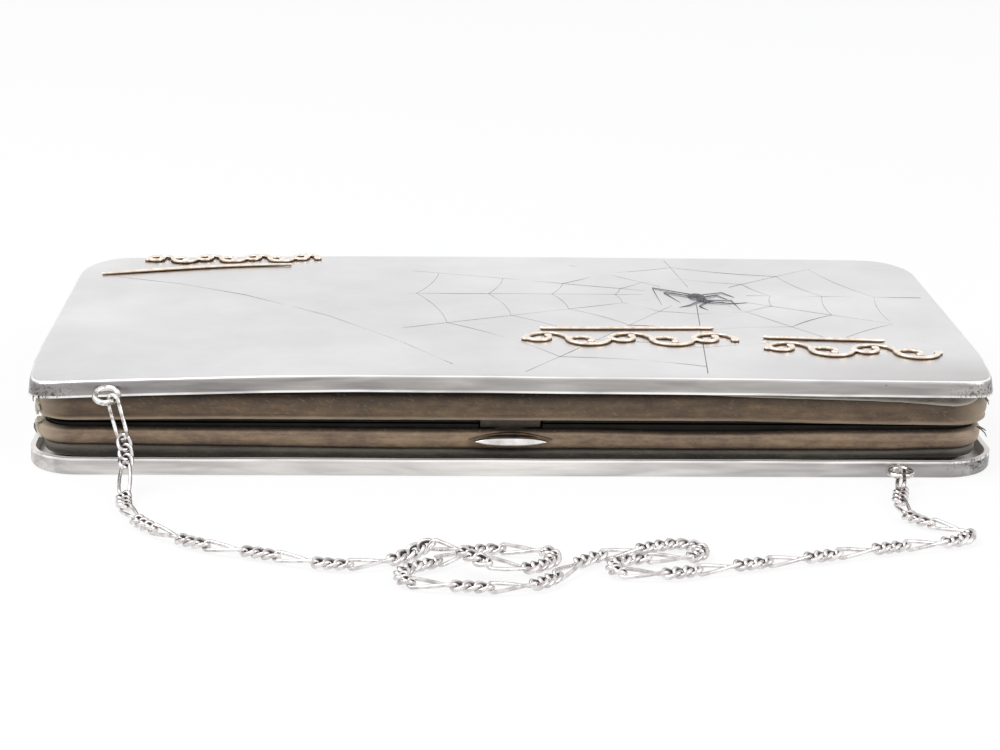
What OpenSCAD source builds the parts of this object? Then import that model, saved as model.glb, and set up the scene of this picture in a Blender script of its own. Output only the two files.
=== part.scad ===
// Cigarette case: two thin silver covers over leather trays, hinged at the rear,
// with a push button at the front and a fine chain from one cover to the other.
// X runs along the case, Y from the front to the hinge, Z up from the table.

/* [Covers] */
// Outside width of both covers
case_w = 151; // [140:1:170]
// Outside depth of both covers, front to rear
case_d = 83; // [78:1:96]
// Corner radius of the covers seen from above
corner_r = 8; // [7:0.5:9]
// Thickness of the sheet silver
sheet_t = 0.8; // [0.6:0.1:1]
// Radius of the rounded outer edge of each cover
edge_r = 0.8; // [0.6:0.1:1]
// Height of the bottom cover's rim
base_rim_h = 2.8; // [2.4:0.1:3]
// Height of the top cover's rim
lid_rim_h = 2.7; // [2.4:0.1:3]
// How far the top cover's left end lies below its middle
camber = 0.84; // [0:0.02:1]
// How far the top cover's right end, which the loose leather holds up, lies below its middle
right_camber = 0.3; // [0:0.02:1]

/* [Leather trays] */
// Setback of the leather from the covers' front and rear edges
tray_setback = 3.2; // [2.8:0.1:4]
// Clearance between the leather's ends and the covers' rims
end_gap = 0.2; // [0.2:0.1:1]
// Corner radius of the leather trays
tray_corner_r = 6; // [5:0.5:7]
// Thickness of the leather walls
leather_t = 1.4; // [1.2:0.1:1.8]
// How far the middle of a leather wall swells out past its edges
leather_swell = 0.4; // [0.2:0.1:0.8]
// Height of the lower tray's wall
lower_wall_h = 3; // [2.8:0.1:4]
// Height of the upper tray's wall
upper_wall_h = 4.2; // [3.6:0.1:6]
// Gap between the two leather walls when the case is shut
seam_gap = 1.7; // [1.3:0.1:2]
// Thickness of the board under the lower tray
lower_board_t = 1.1; // [0.8:0.1:1.5]
// Thickness of the board over the upper tray
upper_board_t = 0.6; // [0.5:0.1:1.2]
// Setback of the upper board behind the leather
upper_board_setback = 0.6; // [0.3:0.1:1.5]
// Height of the filler under the lower board
lower_filler_h = 1.6; // [1.5:0.1:3]
// Height of the filler over the upper board at the middle of the case
upper_filler_h = 2.3; // [2:0.1:3]
// Setback of both fillers behind the leather
filler_setback = 3; // [2:0.5:6]
// Thickness of the cloth linings
lining_t = 0.3; // [0.2:0.1:0.5]

/* [Retaining band] */
// Width of the elastic band
band_w = 8; // [5:1:14]
// Thickness of the elastic band
band_t = 0.5; // [0.4:0.1:0.8]
// Distance from the band's ends to the metal frame
band_end_gap = 1; // [0.5:0.5:4]
// Distance from a rivet to the band's end
rivet_inset = 4; // [3:0.5:8]
// Radius of a rivet's head
rivet_head_r = 1.4; // [1:0.1:2]
// Height of a rivet's head
rivet_head_h = 0.4; // [0.3:0.1:0.6]
// Radius of a rivet's shank
rivet_r = 0.6; // [0.4:0.1:0.8]

/* [Frames and hinge] */
// Thickness of the metal frames inside the leather
frame_t = 0.8; // [0.6:0.1:1]
// Gap between the two metal frames when the case is shut
frame_gap = 0.3; // [0.2:0.05:0.4]
// Outside radius of the hinge barrel
barrel_r = 1.3; // [1.1:0.1:1.5]
// Gap between the hinge barrel and the leather
barrel_gap = 0.3; // [0.3:0.1:0.6]
// Radius of the hinge pin
pin_r = 0.6; // [0.4:0.05:0.7]
// Length of the hinge barrel
hinge_len = 126; // [90:2:130]
// Number of knuckles in the hinge
knuckles = 9; // [5:2:11]
// Gap between two knuckles
knuckle_gap = 0.3; // [0.2:0.1:0.6]
// Thickness of the pin's heads
pin_head_t = 0.5; // [0.3:0.1:1]

/* [Catch] */
// Sideways place of the catch from the middle of the case
catch_x = -0.6; // [-20:0.2:20]
// Width of the push button
button_w = 11.4; // [11:0.2:12]
// Height of the push button
button_h = 1.6; // [1.4:0.1:1.6]
// How far the push button stands out of its plate
button_proud = 1.2; // [1.1:0.1:1.3]
// Travel of the push button
button_travel = 1; // [0.8:0.1:1]
// Clearance round the push button
button_gap = 0.15; // [0.1:0.05:0.2]
// Width of the plate round the push button
plate_w = 13; // [13:0.5:15]
// Height of the plate round the push button
plate_h = 2.2; // [2.2:0.1:2.5]
// Thickness of the plate round the push button
plate_t = 0.4; // [0.3:0.1:0.6]
// Radius of the button's two stems
stem_r = 0.35; // [0.3:0.05:0.4]
// Distance from the catch's middle to a stem
stem_reach = 3.9; // [3.8:0.1:4.2]
// Width of the catch tongue between the trays
tongue_w = 9.4; // [8:0.2:14]
// Width of the catch tongue's tip
tongue_tip_w = 4.8; // [4:0.2:5]
// Thickness of the catch tongue
tongue_t = 0.6; // [0.4:0.1:0.8]
// Height of the tongue's root on the upper frame
tongue_root_h = 1.6; // [1:0.1:2.5]
// Length of the latch bar that the stems carry
latch_bar_w = 9.6; // [9.4:0.2:11]
// Thickness of the latch bar
latch_bar_t = 0.5; // [0.4:0.1:0.8]
// Free length of the latch spring
spring_len = 2.2; // [2:0.1:3]
// Mean radius of the latch spring
spring_r = 0.45; // [0.4:0.05:0.5]
// Wire diameter of the latch spring
spring_wire_d = 0.22; // [0.2:0.02:0.26]
// Number of turns in the latch spring
spring_turns = 4; // [3:1:5]
// Thickness of the bridge behind the latch spring
bridge_t = 0.5; // [0.4:0.1:0.8]

/* [Chain] */
// Outside width of the two eyes that the chain hangs from
eye_d = 4.4; // [4:0.1:5]
// Wire diameter of the eyes
eye_wire_d = 0.9; // [0.8:0.05:1]
// Distance from the left end of the case to the top cover's eye
upper_eye_inset = 13.2; // [11:0.1:20]
// Distance from the right end of the case to the bottom cover's eye
lower_eye_inset = 15.9; // [11:0.1:20]
// How far the top cover's eye droops below level
upper_eye_tilt = 25; // [15:1:40]
// How far the bottom cover's eye droops below level
lower_eye_tilt = 4; // [1:1:8]
// Wire diameter of the chain's two end links
link_wire_d = 0.6; // [0.5:0.05:0.65]
// Outside length of an end link
link_l = 7.5; // [7:0.1:7.6]
// Outside width of an end link
link_w = 2.8; // [2.7:0.05:2.9]
// Play between a hanging end link and its eye
link_play = 0.2; // [0.15:0.05:0.3]
// Width of the chain
chain_d = 2; // [1.6:0.1:2]

/* [Ornament] */
// Height of the gold ornaments above the cover
gold_h = 0.5; // [0.4:0.1:1]
// Width of the gold strokes
gold_w = 0.8; // [0.7:0.1:1.2]
// Length of one wave of the two front scrolls
scroll_pitch = 6.8; // [6:0.1:7]
// Waves in the scroll near the middle of the cover
middle_waves = 5; // [3:1:5]
// Waves in the scroll near the right end
right_waves = 4; // [3:1:4]
// Length of one wave of the scroll at the rear left
left_pitch = 4.4; // [4:0.1:4.8]
// Waves in the scroll at the rear left
left_waves = 7; // [4:1:8]
// Distance from a front scroll's middle line to the bar behind it
bar_gap = 7; // [6:0.5:8]
// Length of the bar behind the middle scroll
middle_bar_l = 29; // [20:1:34]
// Length of the bar behind the right scroll
right_bar_l = 20; // [15:1:26]
// Length of the long feather at the rear left
plume_l = 34; // [25:1:36]
// How far the long feather bows
plume_bow = 3; // [2:0.2:4.4]
// Radius of the spider's rear body
spider_r = 1.9; // [1.5:0.1:2.2]
// Height of the spider's body
spider_h = 0.8; // [0.4:0.1:1.2]
// Width of the spider's legs
spider_leg_w = 0.2; // [0.2:0.05:0.4]
// Height of the spider's legs
spider_leg_h = 0.15; // [0.1:0.05:0.3]

/* [Hidden] */
$fn = 64;
// Clearances of the fits
pin_clear = 0.05;
stem_clear = 0.1;
rivet_clear = 0.05;
frame_fit = 0.1;
tongue_gap = 0.3;
latch_gap = 0.15;
flange_clear = 0.05;
rest_gap = 0.02;

// Heights from the table upward
lower_board_z = sheet_t + lower_filler_h;
lower_wall_z = lower_board_z + lower_board_t;
parting_z = lower_wall_z + lower_wall_h + seam_gap / 2;
upper_wall_z = parting_z + seam_gap / 2;
upper_board_z = upper_wall_z + upper_wall_h;
upper_filler_z = upper_board_z + upper_board_t;
lid_top_z = upper_filler_z + upper_filler_h + sheet_t;
lining_z = lower_wall_z + lining_t;
lip_r = sheet_t / 2;

// Plan sizes of the leather, the frames and the space inside them
tray_w = case_w - 2 * (sheet_t + end_gap);
tray_d = case_d - 2 * tray_setback;
frame_w = tray_w - 2 * (leather_t + frame_fit);
frame_d = tray_d - 2 * (leather_t + frame_fit);
frame_corner_r = tray_corner_r - leather_t - frame_fit;
inner_w = frame_w - 2 * frame_t;
inner_d = frame_d - 2 * frame_t;
inner_corner_r = frame_corner_r - frame_t;
leather_face_y = -tray_d / 2;
frame_face_y = -inner_d / 2;

// Hinge line behind the leather, level with the parting of the trays
hinge_y = tray_d / 2 + barrel_gap + barrel_r;
hinge_pitch = hinge_len / knuckles;
flange_t = (seam_gap - frame_gap) / 2 - flange_clear;

// Front to rear places of the catch
button_z = lower_wall_z + lower_wall_h / 2 + 0.2;
button_back_y = leather_face_y - 0.1;
plate_face_y = leather_face_y - plate_t;
tongue_back_y = frame_face_y + tongue_t;
latch_nose_y = tongue_back_y + latch_gap;
latch_bar_y = latch_nose_y + 0.25;
spring_y = latch_bar_y + latch_bar_t;
bridge_y = spring_y + spring_len;
bridge_half = latch_bar_w / 2 + 1.2;
notch_z = button_z + stem_r + stem_clear + 0.5;
nose_w = tongue_tip_w / 2;
nose_h = 0.6;
nose_clear = 0.1;

// Eyes on the front of the covers
eye_r = (eye_d - eye_wire_d) / 2;
eye_pad_r = eye_wire_d / 2;
eye_back_y = -case_d / 2 - 0.1 - eye_wire_d / 2;
upper_eye_x = -case_w / 2 + upper_eye_inset;
lower_eye_x = case_w / 2 - lower_eye_inset;
upper_pad_z = lid_top_z - sag(upper_eye_x) - edge_r - eye_pad_r;
lower_pad_z = base_rim_h - lip_r - eye_pad_r;
// Turn round each eye from its front to the place where the chain hangs
upper_hang_turn = 40;
lower_hang_turn = -10;
upper_hang = eye_point(upper_eye_x, upper_pad_z, upper_eye_tilt, upper_hang_turn);
lower_hang = eye_point(lower_eye_x, lower_pad_z, lower_eye_tilt, lower_hang_turn);

// The chain's route from the upper end link over the table to the lower one
chain_route = [
    [-59.3, -46.6, 6.4], [-59.2, -47.6, 4.9], [-59, -49.8, 3.2], [-58.9, -52.4, 1.8],
    [-58.7, -55.8, 1], [-57.9, -60.2, 1], [-56.1, -64.4, 1], [-53.7, -68.1, 1],
    [-50.8, -71.3, 1], [-47.6, -74.1, 1], [-43.2, -76.8, 1], [-37.8, -78.8, 1],
    [-32.9, -81.2, 1], [-28, -83.2, 1], [-22.6, -83.6, 1], [-18.8, -81.8, 1],
    [-16.2, -80.1, 1.4], [-14.3, -80, 2.4], [-12.4, -81, 3.2], [-10.4, -83.5, 3.5],
    [-8.3, -86.4, 3.5], [-6, -87.8, 3], [-3.6, -87.1, 2], [-0.7, -85.6, 1.2],
    [2.1, -83.7, 1], [3.9, -81, 1], [3.1, -78.1, 1], [0.5, -76.8, 1],
    [-2.3, -76.9, 1], [-4.8, -77.2, 1], [-7.2, -77.7, 1], [-9.2, -78.9, 1],
    [-11, -81.1, 1], [-13.2, -82.9, 1], [-15.8, -84.4, 1], [-17.4, -86.9, 1],
    [-17, -89.9, 1], [-14.6, -91.6, 1], [-11.6, -91.9, 1], [-8.9, -92, 1],
    [-6.8, -92.4, 1], [-4.2, -92.8, 1], [-1.5, -92.4, 1], [1, -91.2, 1],
    [3, -89.2, 1], [4.7, -86.5, 1], [6.5, -83.6, 1], [8.6, -81.2, 1],
    [11.3, -79.2, 1], [14.5, -77.8, 1], [17.7, -76.3, 1], [20.6, -74.9, 1],
    [23.5, -75.1, 1], [25, -77.4, 1], [24, -80, 1], [21, -81, 1],
    [17.8, -80.8, 1], [14.4, -81.2, 1], [12, -83.4, 1], [12.3, -86.2, 1],
    [15, -87.5, 1], [19.6, -86.9, 1], [26.4, -84.6, 1], [34.4, -82, 1],
    [40.6, -80.1, 1], [46.3, -78, 1], [51.8, -76.1, 1], [56.4, -74.8, 1],
    [59.8, -74, 1], [62.9, -72.9, 1], [64.6, -70.4, 1], [63.4, -67.9, 1],
    [60.9, -66, 1], [58.8, -64.6, 1], [57.3, -62, 1], [56.7, -58.8, 1],
    [57.2, -55.6, 1], [58.1, -52.2, 1.2]
];
chain_sides = 8;

// Places of the ornaments on the top cover, from the middle of the case or from its ends
spider_at = [33.4, 10.4];
middle_scroll_at = [2.4, -case_d / 2 + 22.4];
right_scroll_at = [case_w / 2 - 34.4, -case_d / 2 + 16.6];
right_scroll_turn = -4;
left_scroll_at = [-case_w / 2 + 11.5, case_d / 2 - 3.6];
plume_at = [-case_w / 2 + 4, case_d / 2 - 11.6];
plume_turn = 10;

// The spider's eight legs from hip to knee to foot, and the places of its rear body's end and head
spider_legs = [
    [[-0.6, 1.2], [-7.1, 6.4], [-6.6, -5.4]],
    [[-1, 0.4], [-5.4, 3], [-3.2, -3.8]],
    [[0.6, -2.4], [-1.8, -5.8], [-3.8, -7.2]],
    [[1.4, -3.2], [-0.2, -6.4], [1, -9]],
    [[0.8, 1], [4.8, 3.4], [6.6, 0.4]],
    [[1.2, -0.6], [3.6, 1.4], [5.2, -1.2]],
    [[1.5, -2.8], [5.8, -2.2], [6.6, -8.8]],
    [[1.6, -3.3], [4.8, -4.4], [8.4, -3.6]]
];
spider_tail = [0.5, -1.6];
spider_head = [1.5, -3.2];

silver = [0.82, 0.82, 0.81];
leather = [0.42, 0.35, 0.26];
gold = [0.86, 0.72, 0.52];
dark = [0.2, 0.2, 0.21];

// How far the bowed top cover lies below its middle at a place along the case
function end_camber(x) = x < 0 ? camber : right_camber;
function sag(x) = end_camber(x) * pow(x / (case_w / 2), 2);
function unit(v) = v / norm(v);

// The middle of an eye's wire, turned round the eye from its front
function eye_point(x, pad_z, tilt, turn) =
    let (centre_y = eye_back_y - eye_r * cos(tilt), centre_z = pad_z - eye_r * sin(tilt))
    [x + eye_r * sin(turn),
     centre_y - eye_r * cos(turn) * cos(tilt),
     centre_z - eye_r * cos(turn) * sin(tilt)];

// The outline of the bowed cover: its front half from the left end to the right, then the rear half
corner_steps = 6;
bow_steps = 16;
function corner_points(cx, cy, r, start) = [
    for (i = [0:corner_steps])
        let (a = start + 90 * i / corner_steps)
        [cx + r * cos(a), cy + r * sin(a)]
];
function front_half(w, d, r) = concat(
    corner_points(r - w / 2, r - d / 2, r, 180),
    [for (i = [1:bow_steps - 1]) [r - w / 2 + (w - 2 * r) * i / bow_steps, -d / 2]],
    corner_points(w / 2 - r, r - d / 2, r, 270)
);
function outline(inset) =
    let (f = front_half(case_w - 2 * inset, case_d - 2 * inset, corner_r - inset))
    concat(f, [for (i = [len(f) - 1:-1:0]) [f[i].x, -f[i].y]]);
function bowed_ring(inset, z) = [for (p = outline(inset)) [p.x, p.y, z - sag(p.x)]];

// The bowed cover's section, from the top over the edge, round the lip and up inside
inner_edge_r = 0.5;
edge_angles = [0:22.5:90];
lip_angles = [0:45:180];
function cover_section(top, rim) = concat(
    [for (a = edge_angles) [edge_r * (1 - sin(a)), top - edge_r * (1 - cos(a))]],
    [for (a = lip_angles) [lip_r * (1 - cos(a)), rim + lip_r * (1 - sin(a))]],
    [[sheet_t, top - sheet_t - inner_edge_r], [sheet_t + inner_edge_r, top - sheet_t]]
);

// A closed skin from rings of points that are mirrored front to rear
module ring_skin(rings) {
    n = len(rings[0]);
    last = len(rings) - 1;
    walls = [
        for (k = [0:last - 1])
            for (i = [0:n - 1])
                let (a = k * n + i, b = k * n + (i + 1) % n)
                each [[a, b, b + n], [a, b + n, a + n]]
    ];
    top_cap = [
        for (i = [0:n / 2 - 2])
            each [[i + 1, i, n - 1 - i], [i + 1, n - 1 - i, n - 2 - i]]
    ];
    under_cap = [for (f = top_cap) [f[0] + last * n, f[2] + last * n, f[1] + last * n]];
    polyhedron(points = [for (r = rings) each r], faces = concat(walls, top_cap, under_cap));
}

module round_rect(w, d, r) {
    square([w - 2 * r, d], center = true);
    square([w, d - 2 * r], center = true);
    for (x = [-1, 1])
        for (y = [-1, 1])
            translate([x * (w / 2 - r), y * (d / 2 - r)]) circle(r);
}

module plate(w, d, r, h) {
    linear_extrude(h) round_rect(w, d, r);
}

// A section carried round a rectangle with round corners: its x is outward from the outline, its y is up
module loop(w, d, r) {
    for (turn = [0, 180]) {
        rotate([0, 0, turn]) {
            translate([w / 2, d / 2 - r, 0]) rotate([90, 0, 0])
                linear_extrude(d - 2 * r) children();
            translate([-w / 2 + r, d / 2, 0]) rotate([90, 0, 90])
                linear_extrude(w - 2 * r) children();
        }
    }
    for (c = [[1, 1, 0], [-1, 1, 90], [-1, -1, 180], [1, -1, 270]])
        translate([c[0] * (w / 2 - r), c[1] * (d / 2 - r), 0]) rotate([0, 0, c[2]])
            rotate_extrude(angle = 90) translate([r, 0]) children();
}

// A wall whose outer face swells in the middle
module swelled_section(h, t) {
    polygon(concat(
        [[-t, 0], [-t, h]],
        [for (a = [90:-20:-90]) [leather_swell * (cos(a) - 1), h / 2 * (1 + sin(a))]]
    ));
}

// A pointed oval seen from the front, reaching from the origin toward the front
module lens(w, h, depth) {
    r = (w * w + h * h) / (4 * h);
    rotate([90, 0, 0])
        intersection() {
            translate([0, r - h / 2, 0]) cylinder(r = r, h = depth, $fn = 360);
            translate([0, h / 2 - r, 0]) cylinder(r = r, h = depth, $fn = 360);
        }
}

module bore_y(x, y, z, r, depth) {
    translate([x, y, z]) rotate([-90, 0, 0]) cylinder(r = r, h = depth);
}

// Something laid on the bowed cover
module on_lid(x, y) {
    slope = atan(2 * end_camber(x) * x / pow(case_w / 2, 2));
    translate([x, y, lid_top_z - sag(x) + rest_gap]) rotate([0, slope, 0]) children();
}

module bottom_cover() {
    color(silver) union() {
        loop(case_w, case_d, corner_r)
            polygon(concat(
                [for (a = [-90:15:0]) [edge_r * (cos(a) - 1), edge_r * (1 + sin(a))]],
                [for (a = [0:30:180]) [lip_r * (cos(a) - 1), base_rim_h - lip_r * (1 - sin(a))]],
                [[-sheet_t, sheet_t], [-2 * edge_r - 1, sheet_t], [-2 * edge_r - 1, 0]]
            ));
        plate(case_w - 2 * edge_r - 1, case_d - 2 * edge_r - 1, corner_r - edge_r - 0.5, sheet_t);
    }
}

module top_cover() {
    color(silver)
        ring_skin([for (s = cover_section(lid_top_z, lid_top_z - lid_rim_h)) bowed_ring(s[0], s[1])]);
}

module lower_filler() {
    color(dark) translate([0, 0, sheet_t])
        plate(tray_w - 2 * filler_setback, tray_d - 2 * filler_setback,
              tray_corner_r - 1, lower_filler_h);
}

module upper_filler() {
    w = tray_w - 2 * filler_setback;
    d = tray_d - 2 * filler_setback;
    color(dark) intersection() {
        translate([0, 0, upper_filler_z]) plate(w, d, tray_corner_r - 1, upper_filler_h);
        translate([0, d / 2 + 1, 0]) rotate([90, 0, 0])
            linear_extrude(d + 2)
                polygon(concat(
                    [[w / 2 + 1, upper_filler_z - 1], [-w / 2 - 1, upper_filler_z - 1]],
                    [for (i = [0:bow_steps])
                        let (x = (w / 2 + 1) * (2 * i / bow_steps - 1))
                        [x, lid_top_z - sheet_t - sag(x) - rest_gap]]
                ));
    }
}

module rivet_holes(r, z, h) {
    for (side = [-1, 1])
        translate([side * (inner_w / 2 - band_end_gap - rivet_inset), 0, z]) cylinder(r = r, h = h);
}

module lower_board() {
    color(leather) difference() {
        translate([0, 0, lower_board_z]) plate(tray_w, tray_d, tray_corner_r, lower_board_t);
        rivet_holes(rivet_r + rivet_clear, lower_board_z - 1, lower_board_t + 2);
    }
}

module upper_board() {
    color(leather) translate([0, 0, upper_board_z])
        plate(tray_w - 2 * upper_board_setback, tray_d - 2 * upper_board_setback,
              tray_corner_r - upper_board_setback, upper_board_t);
}

module lower_tray() {
    color(leather) difference() {
        translate([0, 0, lower_wall_z]) loop(tray_w, tray_d, tray_corner_r)
            swelled_section(lower_wall_h, leather_t);
        translate([catch_x, leather_face_y + leather_t + 1, button_z])
            lens(button_w + 2 * button_gap, button_h + 2 * button_gap, leather_t + 2);
    }
}

module upper_tray() {
    color(leather) translate([0, 0, upper_wall_z]) loop(tray_w, tray_d, tray_corner_r)
        swelled_section(upper_wall_h, leather_t);
}

module lower_lining() {
    color([0.35, 0.2, 0.2]) difference() {
        translate([0, 0, lower_wall_z])
            plate(inner_w - 2 * frame_fit, inner_d - 2 * frame_fit, inner_corner_r - frame_fit, lining_t);
        rivet_holes(rivet_r + rivet_clear, lower_wall_z - 1, lining_t + 2);
    }
}

module upper_lining() {
    color([0.35, 0.2, 0.2]) translate([0, 0, upper_board_z - lining_t])
        plate(inner_w - 2 * frame_fit, inner_d - 2 * frame_fit, inner_corner_r - frame_fit, lining_t);
}

module elastic_band() {
    l = inner_w - 2 * band_end_gap;
    color([0.3, 0.16, 0.16]) difference() {
        translate([-l / 2, -band_w / 2, lining_z]) cube([l, band_w, band_t]);
        rivet_holes(rivet_r + rivet_clear, lining_z - 1, band_t + 2);
    }
}

module band_rivets() {
    color(silver) {
        rivet_holes(rivet_r, lower_board_z, lining_z + band_t - lower_board_z + rivet_head_h);
        rivet_holes(rivet_head_r, lining_z + band_t, rivet_head_h);
    }
}

// The knuckles and their flanges, every second one from the first
module knuckle_row(first, frame_z) {
    for (i = [first:2:knuckles - 1])
        translate([i * hinge_pitch - hinge_len / 2 + knuckle_gap / 2, 0, 0]) {
            translate([0, hinge_y, parting_z]) rotate([0, 90, 0])
                cylinder(r = barrel_r, h = hinge_pitch - knuckle_gap);
            translate([0, frame_d / 2 - frame_t / 2, frame_z])
                cube([hinge_pitch - knuckle_gap, hinge_y - frame_d / 2 + frame_t / 2, flange_t]);
        }
}

module hinge_bore() {
    translate([-hinge_len / 2 - 1, hinge_y, parting_z]) rotate([0, 90, 0])
        cylinder(r = pin_r + pin_clear, h = hinge_len + 2);
}

module frame_wall(z, h) {
    translate([0, 0, z]) linear_extrude(h) difference() {
        round_rect(frame_w, frame_d, frame_corner_r);
        round_rect(inner_w, inner_d, inner_corner_r);
    }
}

module lower_frame() {
    top = parting_z - frame_gap / 2;
    cut_y = frame_face_y - frame_t - 1;
    color(silver) difference() {
        union() {
            frame_wall(lower_wall_z, top - lower_wall_z);
            knuckle_row(0, top - flange_t);
        }
        hinge_bore();
        for (side = [-1, 1])
            bore_y(catch_x + side * stem_reach, cut_y, button_z, stem_r + stem_clear, frame_t + 2);
        translate([catch_x - tongue_w / 2 - tongue_gap, cut_y, notch_z])
            cube([tongue_w + 2 * tongue_gap, frame_t + 2, top]);
        translate([catch_x - tongue_tip_w / 2 - tongue_gap, cut_y, lining_z])
            cube([tongue_tip_w + 2 * tongue_gap, frame_t + 2, top]);
    }
}

module upper_frame() {
    bottom = parting_z + frame_gap / 2;
    color(silver) difference() {
        union() {
            frame_wall(bottom, upper_board_z - bottom);
            knuckle_row(1, bottom);
        }
        hinge_bore();
        translate([catch_x - tongue_w / 2 - tongue_gap, frame_face_y - frame_t - 1, bottom - 1])
            cube([tongue_w + 2 * tongue_gap, frame_t + 2, 1 + upper_wall_z - bottom]);
    }
}

module hinge_pin() {
    color(silver) translate([0, hinge_y, parting_z]) rotate([0, 90, 0]) {
        cylinder(r = pin_r, h = hinge_len + 2 * pin_head_t, center = true);
        for (side = [-1, 1])
            translate([0, 0, side * (hinge_len + pin_head_t) / 2])
                cylinder(r = barrel_r - 0.2, h = pin_head_t, center = true);
    }
}

module button_plate() {
    color(silver) translate([catch_x, leather_face_y, button_z]) difference() {
        lens(plate_w, plate_h, plate_t);
        translate([0, 1, 0]) lens(button_w + 2 * button_gap, button_h + 2 * button_gap, plate_t + 2);
    }
}

module push_button() {
    color(silver) {
        translate([catch_x, button_back_y, button_z])
            lens(button_w, button_h, button_back_y - plate_face_y + button_proud);
        for (side = [-1, 1])
            bore_y(catch_x + side * stem_reach, button_back_y, button_z, stem_r,
                   latch_bar_y - button_back_y);
    }
}

// The bar that the stems push, with a nose toward the tongue's window
module latch_bar() {
    color(silver) {
        translate([catch_x - latch_bar_w / 2, latch_bar_y, button_z - nose_h])
            cube([latch_bar_w, latch_bar_t, 2 * nose_h]);
        translate([catch_x - nose_w / 2, latch_nose_y, button_z - nose_h / 2])
            cube([nose_w, latch_bar_y - latch_nose_y + latch_bar_t / 2, nose_h]);
    }
}

module latch_spring() {
    // A round wire wound along Y as one unbroken tube
    steps = 8;
    sides = 6;
    r = spring_wire_d / 2;
    last = spring_turns * steps;
    run = spring_len - spring_wire_d - 2 * rest_gap;
    // The middle of the wire and the direction it runs in, after a number of steps
    function wire_at(i) = [spring_r * cos(360 * i / steps), run * i / last, spring_r * sin(360 * i / steps)];
    function wire_way(i) = unit([
        -sin(360 * i / steps), run / last * steps / (2 * PI * spring_r), cos(360 * i / steps)
    ]);
    function wire_out(i) = [cos(360 * i / steps), 0, sin(360 * i / steps)];
    points = [
        for (i = [0:last])
            for (j = [0:sides - 1])
                wire_at(i) + r * (cos(360 * j / sides) * wire_out(i)
                    + sin(360 * j / sides) * cross(wire_way(i), wire_out(i)))
    ];
    color(silver) translate([catch_x, spring_y + spring_wire_d / 2 + rest_gap, button_z])
        polyhedron(points = points, faces = tube_faces(last + 1, sides));
}

module spring_bridge() {
    low = lining_z + 0.1;
    color(silver) translate([catch_x, 0, low]) {
        translate([-bridge_half, bridge_y, 0])
            cube([2 * bridge_half, bridge_t, button_z + 1 - low]);
        for (side = [-1, 1])
            translate([side * (bridge_half - bridge_t / 2) - bridge_t / 2, frame_face_y, 0])
                cube([bridge_t, bridge_y - frame_face_y + bridge_t / 2, button_z + 1 - low]);
    }
}

// A spring steel tongue on the upper frame, with a window for the latch's nose
module catch_tongue() {
    shoulder_z = notch_z + tongue_gap;
    color(silver) difference() {
        union() {
            translate([catch_x - tongue_w / 2, frame_face_y, shoulder_z])
                cube([tongue_w, tongue_t, upper_wall_z + tongue_root_h - shoulder_z]);
            translate([catch_x - tongue_tip_w / 2, frame_face_y, lining_z + latch_gap])
                cube([tongue_tip_w, tongue_t, shoulder_z - lining_z]);
        }
        translate([catch_x - nose_w / 2 - nose_clear, frame_face_y - 1, button_z - nose_h / 2 - nose_clear])
            cube([nose_w + 2 * nose_clear, tongue_t + 2, nose_h + 2 * nose_clear]);
    }
}

// A wire ring soldered to a cover's rim by a short stub
module eye(x, pad_z, tilt) {
    color(silver) {
        translate([x, eye_back_y - eye_r * cos(tilt), pad_z - eye_r * sin(tilt)])
            rotate([tilt, 0, 0])
                rotate_extrude() translate([eye_r, 0]) circle(eye_wire_d / 2);
        translate([x, -case_d / 2, pad_z]) rotate([90, 0, 0])
            cylinder(r = eye_pad_r, h = -case_d / 2 - eye_back_y);
    }
}

module lower_eye() {
    eye(lower_eye_x, lower_pad_z, lower_eye_tilt);
}

module upper_eye() {
    eye(upper_eye_x, upper_pad_z, upper_eye_tilt);
}

// A long link along X from its first bend, whose wire starts at the origin
module long_link() {
    r = (link_w - link_wire_d) / 2;
    straight = link_l - link_w;
    for (side = [-1, 1])
        translate([r, side * r, 0]) rotate([0, 90, 0]) cylinder(r = link_wire_d / 2, h = straight);
    translate([r, 0, 0]) rotate([0, 0, 90])
        rotate_extrude(angle = 180) translate([r, 0]) circle(link_wire_d / 2);
    translate([r + straight, 0, 0]) rotate([0, 0, -90])
        rotate_extrude(angle = 180) translate([r, 0]) circle(link_wire_d / 2);
}

// A long link that hangs from an eye's wire and points to the chain's nearest end
module hung_link(hang, target, roll) {
    way = unit(target - hang);
    back = eye_wire_d / 2 + link_wire_d / 2 + link_play;
    color(silver) translate(hang - back * way)
        rotate([0, -asin(way.z), atan2(way.y, way.x)]) rotate([roll, 0, 0]) long_link();
}

module upper_end_link() {
    hung_link(upper_hang, chain_route[0], 85);
}

module lower_end_link() {
    hung_link(lower_hang, chain_route[len(chain_route) - 1], 65);
}

// Faces of a tube with closed ends, made of rings with equal sides
function tube_faces(rings, sides) = concat(
    [for (k = [0:rings - 2])
        for (j = [0:sides - 1])
            let (a = k * sides + j, b = k * sides + (j + 1) % sides)
            each [[a, a + sides, b + sides], [a, b + sides, b]]],
    [for (j = [1:sides - 2]) [0, j, j + 1]],
    [for (j = [1:sides - 2])
        let (end = (rings - 1) * sides)
        [end, end + j + 1, end + j]]
);

// The direction of a route at a point, level across two neighbours
function route_way(route, i) =
    unit(route[min(i + 1, len(route) - 1)] - route[max(i - 1, 0)]);

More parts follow.
